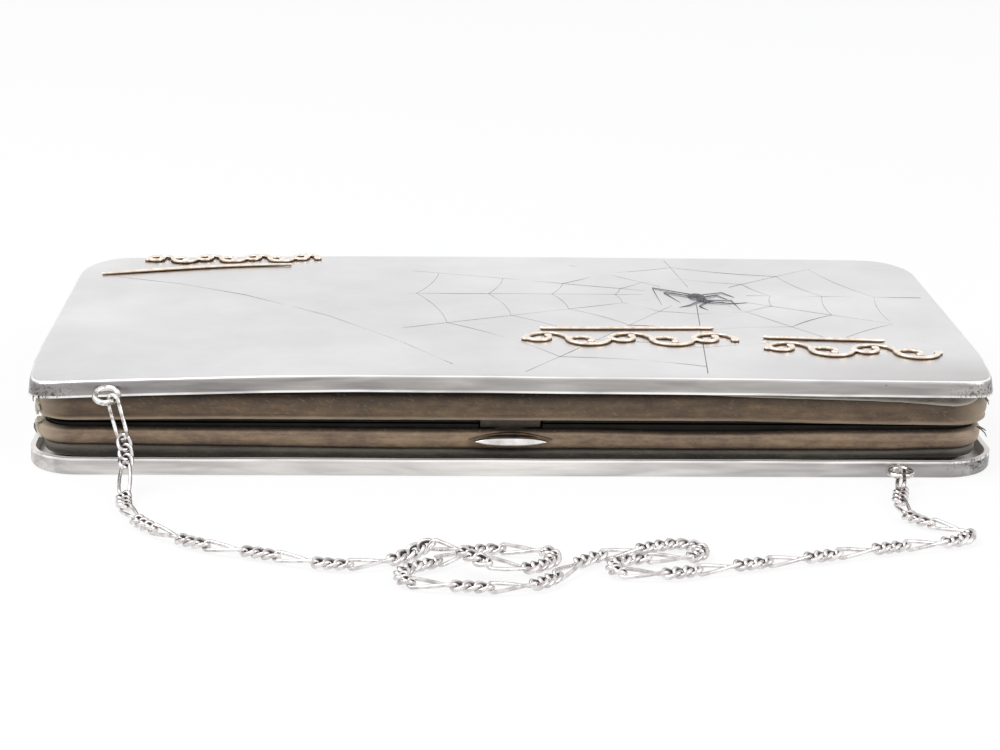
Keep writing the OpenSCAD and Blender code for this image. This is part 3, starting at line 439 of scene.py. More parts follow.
# ramps: the top's tones, the rim's darker greys as painted shade of the sideways rim, and their shift along the case
sheetSilver = wornSilver("sterlingSheetHandPolished",
                         [(0.3, "#d3d2d3"), (0.7, "#e7e6e7")],
                         [(0.05, "#5b5755"), (0.35, "#8a8685"), (0.65, "#b0acaa"), (0.95, "#d8d5d3")],
                         [(0, "#aaaaaa"), (0.2, "#b8b8b8"), (0.45, "#d6d6d6"), (1, "#c8c8c8")], 0.3, 0.04, 1.0)
baseSilver = wornSilver("sterlingSheetTableWorn",
                        [(0.3, "#d9d6d3"), (0.7, "#ece9e6")],
                        [(0.1, "#838080"), (0.4, "#b3b0af"), (0.6, "#d6d2cf"), (0.9, "#f5f2ee")],
                        [(0, "#bcbcbc"), (0.3, "#cacaca"), (0.5, "#dadada"), (0.75, "#b8b8b8"), (0.95, "#8f8f8f")],
                        0.34, 0.075, 0.93)
wireSilver = plainMetal("sterlingWireDrawn", [(0.38, "#8f8883"), (0.5, "#d5d1cd"), (0.62, "#ffffff")], 0.24, 1.1, 0.01)
linkSilver = chainSilver("sterlingLinksTumbled")
buttonSilver = plainMetal("sterlingCastPolished", [(0.35, "#cfccca"), (0.65, "#f2f0ee")], 0.16, 3, 0.01)
roseGold = goldWithPaintedFootShade("roseGoldSawnPolished")
darkNiello = plainMetal("nielloInlayRubbed", [(0.35, "#4b4a4f"), (0.65, "#6e6d73")], 0.42, 0.6, 0.02)
springSteel = plainMetal("springSteelGround", [(0.35, "#66635c"), (0.65, "#7d7a72")], 0.4, 0.9, 0.01)
tongueSteel = plainMetal("springSteelHandled", [(0.35, "#4c463f"), (0.65, "#635d54")], 0.45, 1.2, 0.01)
# the frames, seen only through the gap between the trays, are near-black: partly their blackened finish, partly painted
# shade of that gap
blackFrame = plainMetal("blackenedSteelAndGapShade", [(0.35, "#21201e"), (0.65, "#2e2b28")], 0.5, 4, 0.02)
plateSilver = plainMetal("sterlingPlateTarnished", [(0.35, "#5c4e40"), (0.65, "#857360")], 0.45, 1.5, 0.02)
# upper wall: a paler line at its foot, rubbed wear and painted highlight, and painted shade darkening it toward its top
# under the lid
upperLeather = calfLeather("calfLeatherBrownWorn", [(0.36, "#46372a"), (0.5, "#65503b"), (0.64, "#876e50")],
                           "#b8a78f", [(0.02, "#f0f0f0"), (0.1, "#9a9a9a"), (0.17, "#000000")],
                           [(0.2, "#ffffff"), (0.6, "#eeeeee"), (0.85, "#b4b4b4"), (1, "#6e6e6e")])
# lower wall: a faint painted highlight across its middle, a paler line near its top that is rubbed wear and painted
# highlight, and painted shade at its foot and along its top edge
lowerLeather = calfLeather("calfLeatherBrownRubbed", [(0.36, "#5c4b3e"), (0.5, "#89725c"), (0.64, "#af9676")],
                           "#bfae98", [(0, "#000000"), (0.5, "#242424"), (0.74, "#000000"), (0.82, "#707070"),
                                       (0.9, "#000000")],
                           [(0, "#8c8c8c"), (0.18, "#e4e4e4"), (0.3, "#ffffff"), (0.84, "#ffffff"),
                            (0.93, "#9a9a9a"), (1, "#4a4a4a")])
# board edge: a paler line near its top, rubbed wear and painted highlight, and painted shade toward its foot
boardLeather = calfLeather("calfLeatherBoardEdge", [(0.38, "#2a2621"), (0.5, "#443f37"), (0.62, "#5e574b")],
                           "#83796a", [(0.5, "#000000"), (0.8, "#909090"), (1, "#505050")],
                           [(0, "#8a8a8a"), (0.15, "#c8c8c8"), (0.5, "#eeeeee"), (1, "#cccccc")])
greyLeather = calfLeather("calfLeatherTurnedEdge", [(0.38, "#574f46"), (0.5, "#857b6f"), (0.62, "#aba195")],
                          "#c9c3b6", [(0.05, "#ffffff"), (0.3, "#000000")])
cardFiller = calfLeather("millboardPressed", [(0.3, "#26231f"), (0.5, "#332f2a"), (0.72, "#403b34")],
                         "#403b34", [(0, "#000000"), (1, "#101010")])
liningSilk = wovenCloth("silkRepWoven", [(0.25, "#4d2a26"), (0.8, "#7d4c42")], 0.9, "Y")
elasticWeb = wovenCloth("elasticWebbingWoven", [(0.25, "#5a3a30"), (0.8, "#8c6a58")], 0.7, "X")
print("materials made")


# ---- chain, first of the pieces: long and short links hooked in one another

chain = {
    # mm: each kind of link's length, width and wire
    "long": (7.2, 2.2, 0.56),
    "short": (3.0, 2.5, 0.74),
    "shortsInARow": 3,
    "twist": -43,  # degrees that each end of a link is turned, so that neighbours pass through each other
    "upperApex": (-59.67, -46.25, 7.71),  # inside the bend of the top cover's end link
    "lowerApex": (58.30, -51.06, 1.29),
    "leaves": (-61.18, -44.85, 12.97),  # the top cover's eye
    "route": [
        (-59.3, -46.6, 6.4), (-59.2, -47.6, 4.9), (-59, -49.8, 3.2), (-58.9, -52.4, 1.8),
        (-58.7, -55.8, 1), (-57.9, -60.2, 1), (-56.1, -64.4, 1), (-53.7, -68.1, 1),
        (-50.8, -71.3, 1), (-47.6, -74.1, 1), (-43.2, -76.8, 1), (-37.8, -78.8, 1),
        (-32.9, -81.2, 1), (-28, -83.2, 1), (-22.6, -83.6, 1), (-18.8, -81.8, 1),
        (-16.2, -80.1, 1.4), (-14.3, -80, 2.4), (-12.4, -81, 3.2), (-10.4, -83.5, 3.5),
        (-8.3, -86.4, 3.5), (-6, -87.8, 3), (-3.6, -87.1, 2), (-0.7, -85.6, 1.2),
        (2.1, -83.7, 1), (3.9, -81, 1), (3.1, -78.1, 1), (0.5, -76.8, 1),
        (-2.3, -76.9, 1), (-4.8, -77.2, 1), (-7.2, -77.7, 1), (-9.2, -78.9, 1),
        (-11, -81.1, 1), (-13.2, -82.9, 1), (-15.8, -84.4, 1), (-17.4, -86.9, 1),
        (-17, -89.9, 1), (-14.6, -91.6, 1), (-11.6, -91.9, 1), (-8.9, -92, 1),
        (-6.8, -92.4, 1), (-4.2, -92.8, 1), (-1.5, -92.4, 1), (1, -91.2, 1),
        (3, -89.2, 1), (4.7, -86.5, 1), (6.5, -83.6, 1), (8.6, -81.2, 1),
        (11.3, -79.2, 1), (14.5, -77.8, 1), (17.7, -76.3, 1), (20.6, -74.9, 1),
        (23.5, -75.1, 1), (25, -77.4, 1), (24, -80, 1), (21, -81, 1),
        (17.8, -80.8, 1), (14.4, -81.2, 1), (12, -83.4, 1), (12.3, -86.2, 1),
        (15, -87.5, 1), (19.6, -86.9, 1), (26.4, -84.6, 1), (34.4, -82, 1),
        (40.6, -80.1, 1), (46.3, -78, 1), (51.8, -76.1, 1), (56.4, -74.8, 1),
        (59.8, -74, 1), (62.9, -72.9, 1), (64.6, -70.4, 1), (63.4, -67.9, 1),
        (60.9, -66, 1), (58.8, -64.6, 1), (57.3, -62, 1), (56.7, -58.8, 1),
        (57.2, -55.6, 1), (58.1, -52.2, 1.2),
    ],
}


def smoothRoute():
    points = [Vector(p) for p in [chain["upperApex"]] + chain["route"] + [chain["lowerApex"]]]
    line = []
    for i in range(len(points) - 1):
        before, a, b, after = points[max(i - 1, 0)], points[i], points[i + 1], points[min(i + 2, len(points) - 1)]
        count = max(2, int((b - a).length / 0.1))
        for k in range(count):
            t = k / count
            line.append(0.5 * (2 * a + (b - before) * t + (2 * before - 5 * a + 4 * b - after) * t * t
                               + (3 * a - before - 3 * b + after) * t ** 3))
    line.append(points[-1])
    for evened in range(60):
        line = [line[0]] + [(a + 2 * b + c) / 4 for a, b, c in zip(line, line[1:], line[2:])] + [line[-1]]
    return line


def pitchOf(kind):
    length, width, wire = chain[kind]
    return length - 2 * wire


def hookPoints(line, scale):
    # the places where one link hooks in the next; long links are left out of tight bends
    shortPitch, longPitch = pitchOf("short") * scale, pitchOf("long") * scale
    hooks, at, shorts = [line[0]], 0, 0

    def reachFrom(start, pitch):
        end = start
        while end < len(line) - 1 and (line[end] - line[start]).length < pitch:
            end += 1
        return end

    while True:
        end = reachFrom(at, longPitch)
        chord = line[end] - line[at]
        strays = max((p - line[at]).cross(chord.normalized()).length for p in line[at + 1:end + 1])
        fits = (line[end] - line[at]).length >= longPitch and strays < 0.75
        if shorts >= chain["shortsInARow"] and fits:
            shorts = 0
        else:
            end = reachFrom(at, shortPitch)
            shorts += 1
        if end >= len(line) - 1:
            return hooks, (line[-1] - line[at]).length - shortPitch
        hooks.append(line[end])
        at = end


def linkMesh(kind):
    # a torus pulled apart into a long link, whose sides are cut across so that it can be twisted
    deselectAll()
    length, width, wire = chain[kind]
    half = (width - wire) / 2
    bpy.ops.mesh.primitive_torus_add(major_radius=half * mm, minor_radius=wire / 2 * mm,
                                     major_segments=24, minor_segments=10)
    piece = bpy.context.active_object
    # insideLink: depth into the link's inner side, for its painted shade
    inside = piece.data.attributes.new("insideLink", "FLOAT", "POINT")
    for v in piece.data.vertices:
        depth = (half + wire / 2 - math.hypot(v.co.x, v.co.y) / mm) / wire
        inside.data[v.index].value = depth * (1 if kind == "short" else min(1, abs(v.co.x) / (0.6 * half * mm)))
    bpy.ops.object.mode_set(mode="EDIT")
    shift = (length - width) / 2 * mm
    for side in (1, -1):
        pick(piece, "VERT", lambda v: v.co.x * side > 1e-6)
        bpy.ops.transform.translate(value=(shift * side, 0, 0))
    if kind == "long":
        cutAcross([-2.2, -1.5, -0.75, 0, 0.75, 1.5, 2.2], "X")
    bpy.ops.object.mode_set(mode="OBJECT")
    return piece


def makeChain():
    line = smoothRoute()
    best = min((hookPoints(line, 0.97 + 0.001 * i) for i in range(61)), key=lambda found: abs(found[1]))
    hooks = best[0] + [line[-1]]
    samples = {kind: linkMesh(kind) for kind in ("long", "short")}
    links = []
    for a, b in zip(hooks, hooks[1:]):
        span = (b - a).length
        kind = "long" if span > (pitchOf("long") + pitchOf("short")) / 2 else "short"
        length, width, wire = chain[kind]
        way = (b - a).normalized()
        lean = abs(way.z)
        side = Vector((0, -lean, 1 - lean)).normalized().cross(way).normalized()
        turn = Matrix((way, side, way.cross(side))).transposed().to_4x4()
        mesh = samples[kind].data.copy()
        stretch = (span + 2 * wire) / length
        for v in mesh.vertices:
            angle = math.radians(chain["twist"]) * v.co.x / (length / 2 * mm)
            y, z = v.co.y, v.co.z
            v.co = (v.co.x * stretch, y * math.cos(angle) - z * math.sin(angle),
                    y * math.sin(angle) + z * math.cos(angle))
        mesh.transform(Matrix.Translation((a + b) / 2 * mm) @ turn)
        link = bpy.data.objects.new("chainLink", mesh)
        bpy.context.scene.collection.objects.link(link)
        links.append(link)
    for sample in samples.values():
        bpy.data.objects.remove(sample)
    deselectAll()
    for link in links:
        link.select_set(True)
    bpy.context.view_layer.objects.active = links[0]
    bpy.ops.object.join()
    piece = finishPiece(bpy.context.active_object, "chain_links", None, linkSilver, 60)
    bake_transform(piece)
    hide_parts("chain")


makeChain()


# ---- the two silver covers

lidLow, lidHigh = 13.4, 16.1  # mm, at its middle

coverSheet = {
    "width": 151,  # mm
    "depth": 83,
    "corner": 8,
    # how square the lid's near corners are at the lip and at the top (2 is round), how far its far corners
    # reach across the case, and how far the lip and then the top are drawn in at the near corners, left and right
    "lipSquare": 5,
    "topSquare": 4,
    "farReach": 12,
    "lipIn": (0.6, 1.15),
    "topIn": (0.95, 1.5),
    "edge": 0.8,
    "sheet": 0.8,
    "lip": 0.36,  # rounding of the rim's lip
    "leftCamber": 0.84,  # how far each end of the lid lies below its middle
    "rightCamber": 0.3,
    "wave": 0.05,  # how far the old sheet is out of true
    # places along the case and how far the front edge lies above its line there
    "frontLift": [(-75.5, -0.4), (-66, -0.18), (-57, 0), (-42, 0.22), (-25, 0.36), (-8, 0.26), (8, 0.14), (30, 0.1), (50, 0)],
}


def between(points, place):
    # the value at a place on a line through points of place and value
    for (a, low), (b, high) in zip(points, points[1:]):
        if place <= b:
            return low + (high - low) * max(0.0, place - a) / (b - a)
    return points[-1][1]


def frontLift(x):
    return between(coverSheet["frontLift"], x)


def sag(x):
    return coverSheet["leftCamber" if x < 0 else "rightCamber"] * (x / (coverSheet["width"] / 2)) ** 2


def lidHeight(x, y):
    # height of the lid's top at a place; its front edge bows up a little left of the middle
    nearFront = max(0.0, min(1.0, (-y - 20) / 20))
    return lidHigh - sag(x) + frontLift(x) * nearFront


def lidOutline(x, y, up):
    # where a place of the evenly rounded lid comes to lie on the worn one
    w, d, c = [coverSheet[key] for key in ("width", "depth", "corner")]
    inX, inY = w / 2 - c, d / 2 - c
    if y > 0:
        reach = coverSheet["farReach"]
        return x, between([(0, 0), (20, 20), (inY, d / 2 - reach), (d / 2, d / 2)], y)
    u, v = max(0.0, (abs(x) - inX) / c), max(0.0, (-y - inY) / c)
    newX, newY = abs(x), -y
    if u > 0 and v > 0:
        square = coverSheet["lipSquare"] + (coverSheet["topSquare"] - coverSheet["lipSquare"]) * up
        ray = math.hypot(u, v)
        grown = ((u / ray) ** square + (v / ray) ** square) ** (-1 / square)
        newX, newY = inX + c * u * grown, inY + c * v * grown
    nearFront = max(0.0, min(1.0, (newY - 26) / 15.5))
    nearEnd = max(0.0, (newX - 62) / 13.5)
    lipIn, topIn = coverSheet["lipIn"][x > 0], coverSheet["topIn"][x > 0]
    drawn = lipIn + (topIn - lipIn) * up
    return math.copysign(newX - drawn * nearFront * nearEnd, x), -newY


def makeCover(name, node, body, low, high, openSide, material, bowed):
    deselectAll()
    w, d = coverSheet["width"], coverSheet["depth"]
    bpy.ops.mesh.primitive_cube_add(size=1, location=(0, 0, (low + high) / 2 * mm),
                                    scale=(w * mm, d * mm, (high - low) * mm))
    piece = bpy.context.active_object
    bpy.ops.object.transform_apply(location=True, rotation=True, scale=True)
    bpy.ops.object.mode_set(mode="EDIT")
    pick(piece, "EDGE", lambda e: abs(e.verts[0].co.z - e.verts[1].co.z) > 1e-6)
    bpy.ops.mesh.bevel(offset=coverSheet["corner"] * mm, segments=14, affect="EDGES")
    closed = (high if openSide == "below" else low) * mm
    opened = (low if openSide == "below" else high) * mm
    pick(piece, "FACE", lambda f: all(abs(v.co.z - opened) < 1e-7 for v in f.verts))
    bpy.ops.mesh.delete(type="FACE")
    pick(piece, "EDGE", lambda e: all(abs(v.co.z - closed) < 1e-7 for v in e.verts))
    bpy.ops.mesh.bevel(offset=coverSheet["edge"] * mm, segments=6, affect="EDGES")
    cutAcross(steps(-w / 2 + 3, w / 2 - 3, 4), "X")
    cutAcross(steps(-d / 2 + 3, d / 2 - 3, 4), "Y")
    bpy.ops.mesh.select_all(action="SELECT")
    bpy.ops.mesh.normals_make_consistent(inside=False)
    bpy.ops.object.mode_set(mode="OBJECT")
    addModifier(piece, "SOLIDIFY", thickness=coverSheet["sheet"] * mm, offset=-1, use_even_offset=True)
    addModifier(piece, "BEVEL", width=coverSheet["lip"] * mm, segments=4, limit_method="ANGLE",
                angle_limit=math.radians(50))
    # fromLip places the painted lip highlight and thins the corner pits further up
    fromLip = piece.data.attributes.new("fromLip", "FLOAT", "POINT")
    for v in piece.data.vertices:
        x, y, z = v.co / mm
        fromLip.data[v.index].value = abs(z - opened / mm)
        out = Vector((x, y, 0)).normalized()
        ripple = coverSheet["wave"] * noise.noise(Vector((x / 11, y / 11, 3.0)))
        if bowed:
            v.co.z += (ripple + lidHeight(x, y) - lidHigh) * mm
            v.co += out * (0.4 * ripple * mm)
            up = (z - low) / (high - low)
            newX, newY = lidOutline(x, y, up)
            v.co.x += (newX - x) * mm
            v.co.y += (newY - y) * mm
        else:
            lift = max(0.0, min(1.0, (z - 1.2) / 1.2))
            v.co.z += 1.6 * ripple * lift * mm
            v.co += out * (1.2 * ripple * lift * mm)
    piece.data.update()
    # upFacing carries the painted shade of the sideways rim and the painted edge highlight; within carries the painted
    # light inside the bottom tray
    upFacing = piece.data.attributes.new("upFacing", "FLOAT", "POINT")
    within = piece.data.attributes.new("within", "FLOAT", "POINT")
    for v in piece.data.vertices:
        x, y, z = v.co / mm
        upFacing.data[v.index].value = v.normal.z
        c = coverSheet["corner"]
        inset = c - math.hypot(max(0.0, abs(x) - w / 2 + c), max(0.0, abs(y) - d / 2 + c))
        within.data[v.index].value = 0 if bowed else min(1.0, max(0.0, inset - 0.4) / 0.3) * min(1.0, z / 0.6)
    finishPiece(piece, name, body, material, 40)
    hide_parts(node)
    return piece


makeCover("top_cover_sheet", "top_cover", "lid", lidLow, lidHigh, "below", sheetSilver, True)
makeCover("bottom_cover_sheet", "bottom_cover", "base", 0, 2.8, "above", baseSilver, False)
print("covers raised")


# ---- leather walls of the two trays, and the turned edge of the board under them

leatherWalls = {
    "width": 149,  # mm
    "depth": 76.6,
    "corner": 6,
    "thickness": 1.3,
    "upper": {
        "low": 8.2, "high": 12.4,
        # height share and setback of the outer face: a turned bead at the foot, a swell, a drawn-in top
        "profile": [(0, 0.3), (0.05, 0.1), (0.09, 0.05), (0.13, 0.12), (0.17, 0.3), (0.24, 0.34), (0.36, 0.25),
                    (0.5, 0.2), (0.64, 0.2), (0.76, 0.26), (0.86, 0.4), (0.94, 0.6), (1, 0.85)],
        # place along the case and how far the foot or the top is off its line there
        "foot": [(-75, -0.32), (-62, -0.15), (-46, 0), (36, 0), (48, -0.3), (58, -0.42), (66, -0.5), (75, -0.6)],
        "top": [(-75, 0), (75, 0)],
        "rightBulge": 0.75,
        "endsIn": (0.1, 0),
    },
    "lower": {
        "low": 3.5, "high": 6.5,
        "profile": [(0, 0.7), (0.05, 0.42), (0.1, 0.26), (0.16, 0.2), (0.24, 0.14), (0.36, 0.08), (0.5, 0.02),
                    (0.64, 0.03), (0.74, 0.1), (0.8, 0.2), (0.86, 0.28), (0.93, 0.55), (1, 0.95)],
        "foot": [(-75, 0.6), (-63, 0.5), (-52, 0.4), (-39, 0.25), (-22, 0), (58, 0), (66, 0.3), (75, 0.5)],
        "top": [(-75, 0.2), (-39, 0.12), (-20, 0), (12, 0), (24, -0.28), (36, -0.25), (48, 0.05), (58, 0.12),
                (66, 0.22), (75, 0.45)],
        "rightBulge": 0.1,
        "endsIn": (0, 0.5),
    },
    "board": {
        "low": 1.9, "high": 3.5,
        "profile": [(0, 0.5), (0.08, 0.25), (0.2, 0.1), (0.4, 0.05), (0.6, 0.05), (0.8, 0.14), (0.92, 0.3), (1, 0.6)],
        "foot": [(-75, 0.3), (-62, 0.1), (-45, 0), (45, 0), (58, 0.35), (66, 0.45), (75, 0.5)],
        "top": [(-75, 0.6), (-63, 0.5), (-52, 0.4), (-39, 0.25), (-22, 0), (58, 0), (66, 0.3), (75, 0.5)],
        "rightBulge": 0,
        "endsIn": (0.9, 1.1),
    },
}


def lensDisc(width, height):
    # a flat pointed oval in the XZ plane, from a circle
    deselectAll()
    w, h = width / 2, height / 2
    bend = (w * w + h * h) / (2 * h)
    bpy.ops.mesh.primitive_circle_add(vertices=64, radius=1, fill_type="NGON", rotation=(math.pi / 2, 0, 0))
    piece = bpy.context.active_object
    bpy.ops.object.transform_apply(location=True, rotation=True, scale=True)
    for v in piece.data.vertices:
        x = v.co.x * w
        reach = math.sqrt(max(0.0, bend * bend - x * x)) - (bend - h)
        v.co = Vector((x, 0, math.copysign(reach, v.co.z) if abs(v.co.z) > 1e-6 else 0)) * mm
    return piece


def outlineWay(x, y):
    # the level direction out of the case at a place on the trays' outline, or None inside it
    w, d, c = [leatherWalls[key] for key in ("width", "depth", "corner")]
    off = Vector((x - max(c - w / 2, min(w / 2 - c, x)), y - max(c - d / 2, min(d / 2 - c, y)), 0))
    return off.normalized() if off.length > c - 0.1 else None


def makeWall(kind, hollow=True):
    deselectAll()
    w, d = leatherWalls["width"], leatherWalls["depth"]
    wall = leatherWalls[kind]
    low, high, profile = wall["low"], wall["high"], wall["profile"]
    bpy.ops.mesh.primitive_cube_add(size=1, location=(0, 0, (low + high) / 2 * mm),
                                    scale=(w * mm, d * mm, (high - low) * mm))
    piece = bpy.context.active_object
    bpy.ops.object.transform_apply(location=True, rotation=True, scale=True)
    bpy.ops.object.mode_set(mode="EDIT")
    pick(piece, "EDGE", lambda e: abs(e.verts[0].co.z - e.verts[1].co.z) > 1e-6)
    bpy.ops.mesh.bevel(offset=leatherWalls["corner"] * mm, segments=10, affect="EDGES")
    if hollow:
        pick(piece, "FACE", lambda f: abs(f.normal.z) > 0.9)
        bpy.ops.mesh.delete(type="FACE")
    cutAcross([low + (high - low) * share for share, inset in profile[1:-1]], "Z")
    cutAcross(steps(-w / 2 + 6, w / 2 - 6, 1.6), "X")
    cutAcross(steps(-d / 2 + 6, d / 2 - 6, 2), "Y")
    bpy.ops.mesh.select_all(action="SELECT")
    bpy.ops.mesh.normals_make_consistent(inside=False)
    bpy.ops.object.mode_set(mode="OBJECT")
    outer = len(piece.data.vertices)
    if hollow:
        addModifier(piece, "SOLIDIFY", thickness=leatherWalls["thickness"] * mm, offset=-1, use_even_offset=True)
    # heightShare places the leather's painted shade and its rubbed and lit pale line
    heights = piece.data.attributes.new("heightShare", "FLOAT", "POINT")
    for v in piece.data.vertices:
        x, y, z = v.co / mm
        share = (z - low) / (high - low)
        heights.data[v.index].value = share
        out = outlineWay(x, y) if v.index < outer else None
        if hollow or out:
            v.co.z += (between(wall["foot"], x) * (1 - share) + between(wall["top"], x) * share) * mm
        if out:
            pucker = (0.1 * noise.noise(Vector((x / 5, y / 5, z / 2.2)))
                      + 0.05 * noise.noise(Vector((x / 1.7, y, z))))
            bulge = wall["rightBulge"] * max(0.0, (x - 68) / 7) * (1 - abs(2 * share - 1) ** 3)
            v.co -= out * ((between(profile, share) + max(-0.02, pucker) - bulge) * mm)
            v.co.x -= math.copysign(wall["endsIn"][x > 0] * max(0.0, (abs(x) - 64) / 10.5) * mm, x)
    return piece


upperWall = makeWall("upper")
finishPiece(upperWall, "upper_leather_wall", "lid", upperLeather, 60)
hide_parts("upper_tray")

buttonWindow = {"middle": (-0.6, 5.2), "width": 12.6, "height": 2.15}  # mm

lowerWall = makeWall("lower")
cutter = lensDisc(buttonWindow["width"], buttonWindow["height"])
takeUp(cutter)
bpy.ops.object.mode_set(mode="EDIT")
bpy.ops.mesh.select_all(action="SELECT")
bpy.ops.mesh.extrude_region_move(TRANSFORM_OT_translate={"value": (0, 6 * mm, 0)})
bpy.ops.mesh.select_all(action="SELECT")
bpy.ops.mesh.normals_make_consistent(inside=False)
bpy.ops.object.mode_set(mode="OBJECT")
cutter.location = Vector((buttonWindow["middle"][0], -41, buttonWindow["middle"][1])) * mm
addModifier(lowerWall, "BOOLEAN", object=cutter, operation="DIFFERENCE", solver="EXACT")
bpy.data.objects.remove(cutter)
finishPiece(lowerWall, "lower_leather_wall", "base", lowerLeather, 60)
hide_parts("lower_tray")

board = makeWall("board", hollow=False)
finishPiece(board, "lower_board_turned_edge", "base", boardLeather, 60)
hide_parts("lower_board")
print("leather walls sewn")


# ---- a loosened layer of the lining leather, which sags below the lid at the right

looseLayer = {
    # mm along the case and down to the layer's free edge
    "edge": [(18, 12.82), (27, 12.68), (36, 12.3), (47, 12.03), (56.5, 11.8), (60, 11.65), (64.5, 11.35), (68.5, 11.05),
             (71, 11.3), (72.4, 11.8), (73.2, 12.3)],
    "top": 12.9,
    "front": -38.5,
    "thickness": 0.28,
}


def makeLooseLayer():
    deselectAll()
    edge = looseLayer["edge"]
    bpy.ops.mesh.primitive_grid_add(x_subdivisions=90, y_subdivisions=8, size=1, rotation=(math.pi / 2, 0, 0))
    piece = bpy.context.active_object
    bpy.ops.object.transform_apply(location=True, rotation=True, scale=True)
    heights = piece.data.attributes.new("heightShare", "FLOAT", "POINT")
    for v in piece.data.vertices:
        along, up = v.co.x + 0.5, v.co.z + 0.5
        x = edge[0][0] + (edge[-1][0] - edge[0][0]) * along
        low = between(edge, x)
        z = low + (looseLayer["top"] - low) * up
        hang = (looseLayer["top"] - low) * (1 - up)
        y = looseLayer["front"] - 0.3 * hang - 0.06 * noise.noise(Vector((x / 3, z, 1.0)))
        if x > 68.5:
            y += (6 - math.sqrt(max(0.0, 36 - (x - 68.5) ** 2)))
        heights.data[v.index].value = up
        v.co = Vector((x, y, z)) * mm
    addModifier(piece, "SOLIDIFY", thickness=looseLayer["thickness"] * mm, offset=-1)
    addModifier(piece, "BEVEL", width=0.08 * mm, segments=2, limit_method="ANGLE", angle_limit=math.radians(50))
    finishPiece(piece, "loose_leather_layer", "lid", greyLeather, 60)


makeLooseLayer()


# ---- frayed ends of leather and thread at the corners

frays = {
    # half width in mm, tone and runs of each kind; a run ends thin
    "upper_dark": (0.15, boardLeather, [
        [(72.9, -36.6, 12.3), (73.6, -36.9, 11.9), (74.0, -37.3, 11.4), (74.2, -37.4, 10.9)],
        [(73.3, -36.4, 12.2), (73.9, -36.6, 11.7), (74.3, -36.8, 11.3)],
        [(-74.6, -33.9, 11.4), (-75.0, -33.5, 10.5), (-74.9, -33.6, 9.6)],
    ]),
    "upper_pale": (0.52, greyLeather, [
        [(-73.4, -35.7, 12.1), (-74.0, -34.5, 11.3), (-74.2, -33.6, 10.3), (-74.1, -34.0, 9.3), (-73.8, -34.9, 8.5)],
        [(-74.0, -34.2, 9.9), (-74.3, -33.7, 9.0), (-74.4, -33.5, 8.2), (-74.3, -33.8, 7.6)],
    ]),
    "lower_dark": (0.15, boardLeather, [
        [(72.6, -36.9, 7.2), (73.3, -37.2, 6.8), (73.9, -37.3, 6.2), (74.2, -37.2, 5.6)],
        [(73.0, -36.6, 7.1), (73.8, -36.7, 6.7), (74.2, -36.6, 6.4)],
        [(-74.8, -33.6, 6.1), (-74.9, -33.6, 5.4), (-74.5, -34.3, 4.8)],
    ]),
    "lower_pale": (0.5, greyLeather, [
        [(-73.9, -34.6, 7.1), (-74.4, -33.6, 6.5), (-74.5, -33.4, 5.6), (-74.3, -33.9, 4.8), (-73.7, -34.9, 4.2)],
    ]),
}


def makeFrays(kind, body):
    halfWidth, material, runs = frays[kind]
    curve = bpy.data.curves.new(kind, "CURVE")
    curve.dimensions = "3D"
    curve.bevel_depth = halfWidth * mm
    curve.bevel_resolution = 2
    curve.use_fill_caps = True
    for run in runs:
        spline = curve.splines.new("POLY")
        spline.points.add(len(run) - 1)
        for i, (point, place) in enumerate(zip(spline.points, run)):
            point.co = (*(Vector(place) * mm), 1)
            point.radius = 1 - 0.6 * i / (len(run) - 1)
    piece = bpy.data.objects.new(kind, curve)
    bpy.context.scene.collection.objects.link(piece)
    takeUp(piece)
    bpy.ops.object.convert(target="MESH")
    finishPiece(bpy.context.active_object, "frayed_" + kind, body, material, 60)


for kind, body in (("upper_dark", "lid"), ("upper_pale", "lid"), ("lower_dark", "base"), ("lower_pale", "base")):
    makeFrays(kind, body)
print("loose layer and frays added")


# ---- push button with its two stems, and the coil spring behind it

pushButton = {
    "middle": (-0.6, 5.2),  # mm along and up
    "width": 11.4,
    "height": 1.3,
    "back": -38.4,
    "front": -39.7,
    "dome": 0.4,
    "stemReach": 3.9,
    "stem": 0.35,
    "stemHeight": 5.2,
}


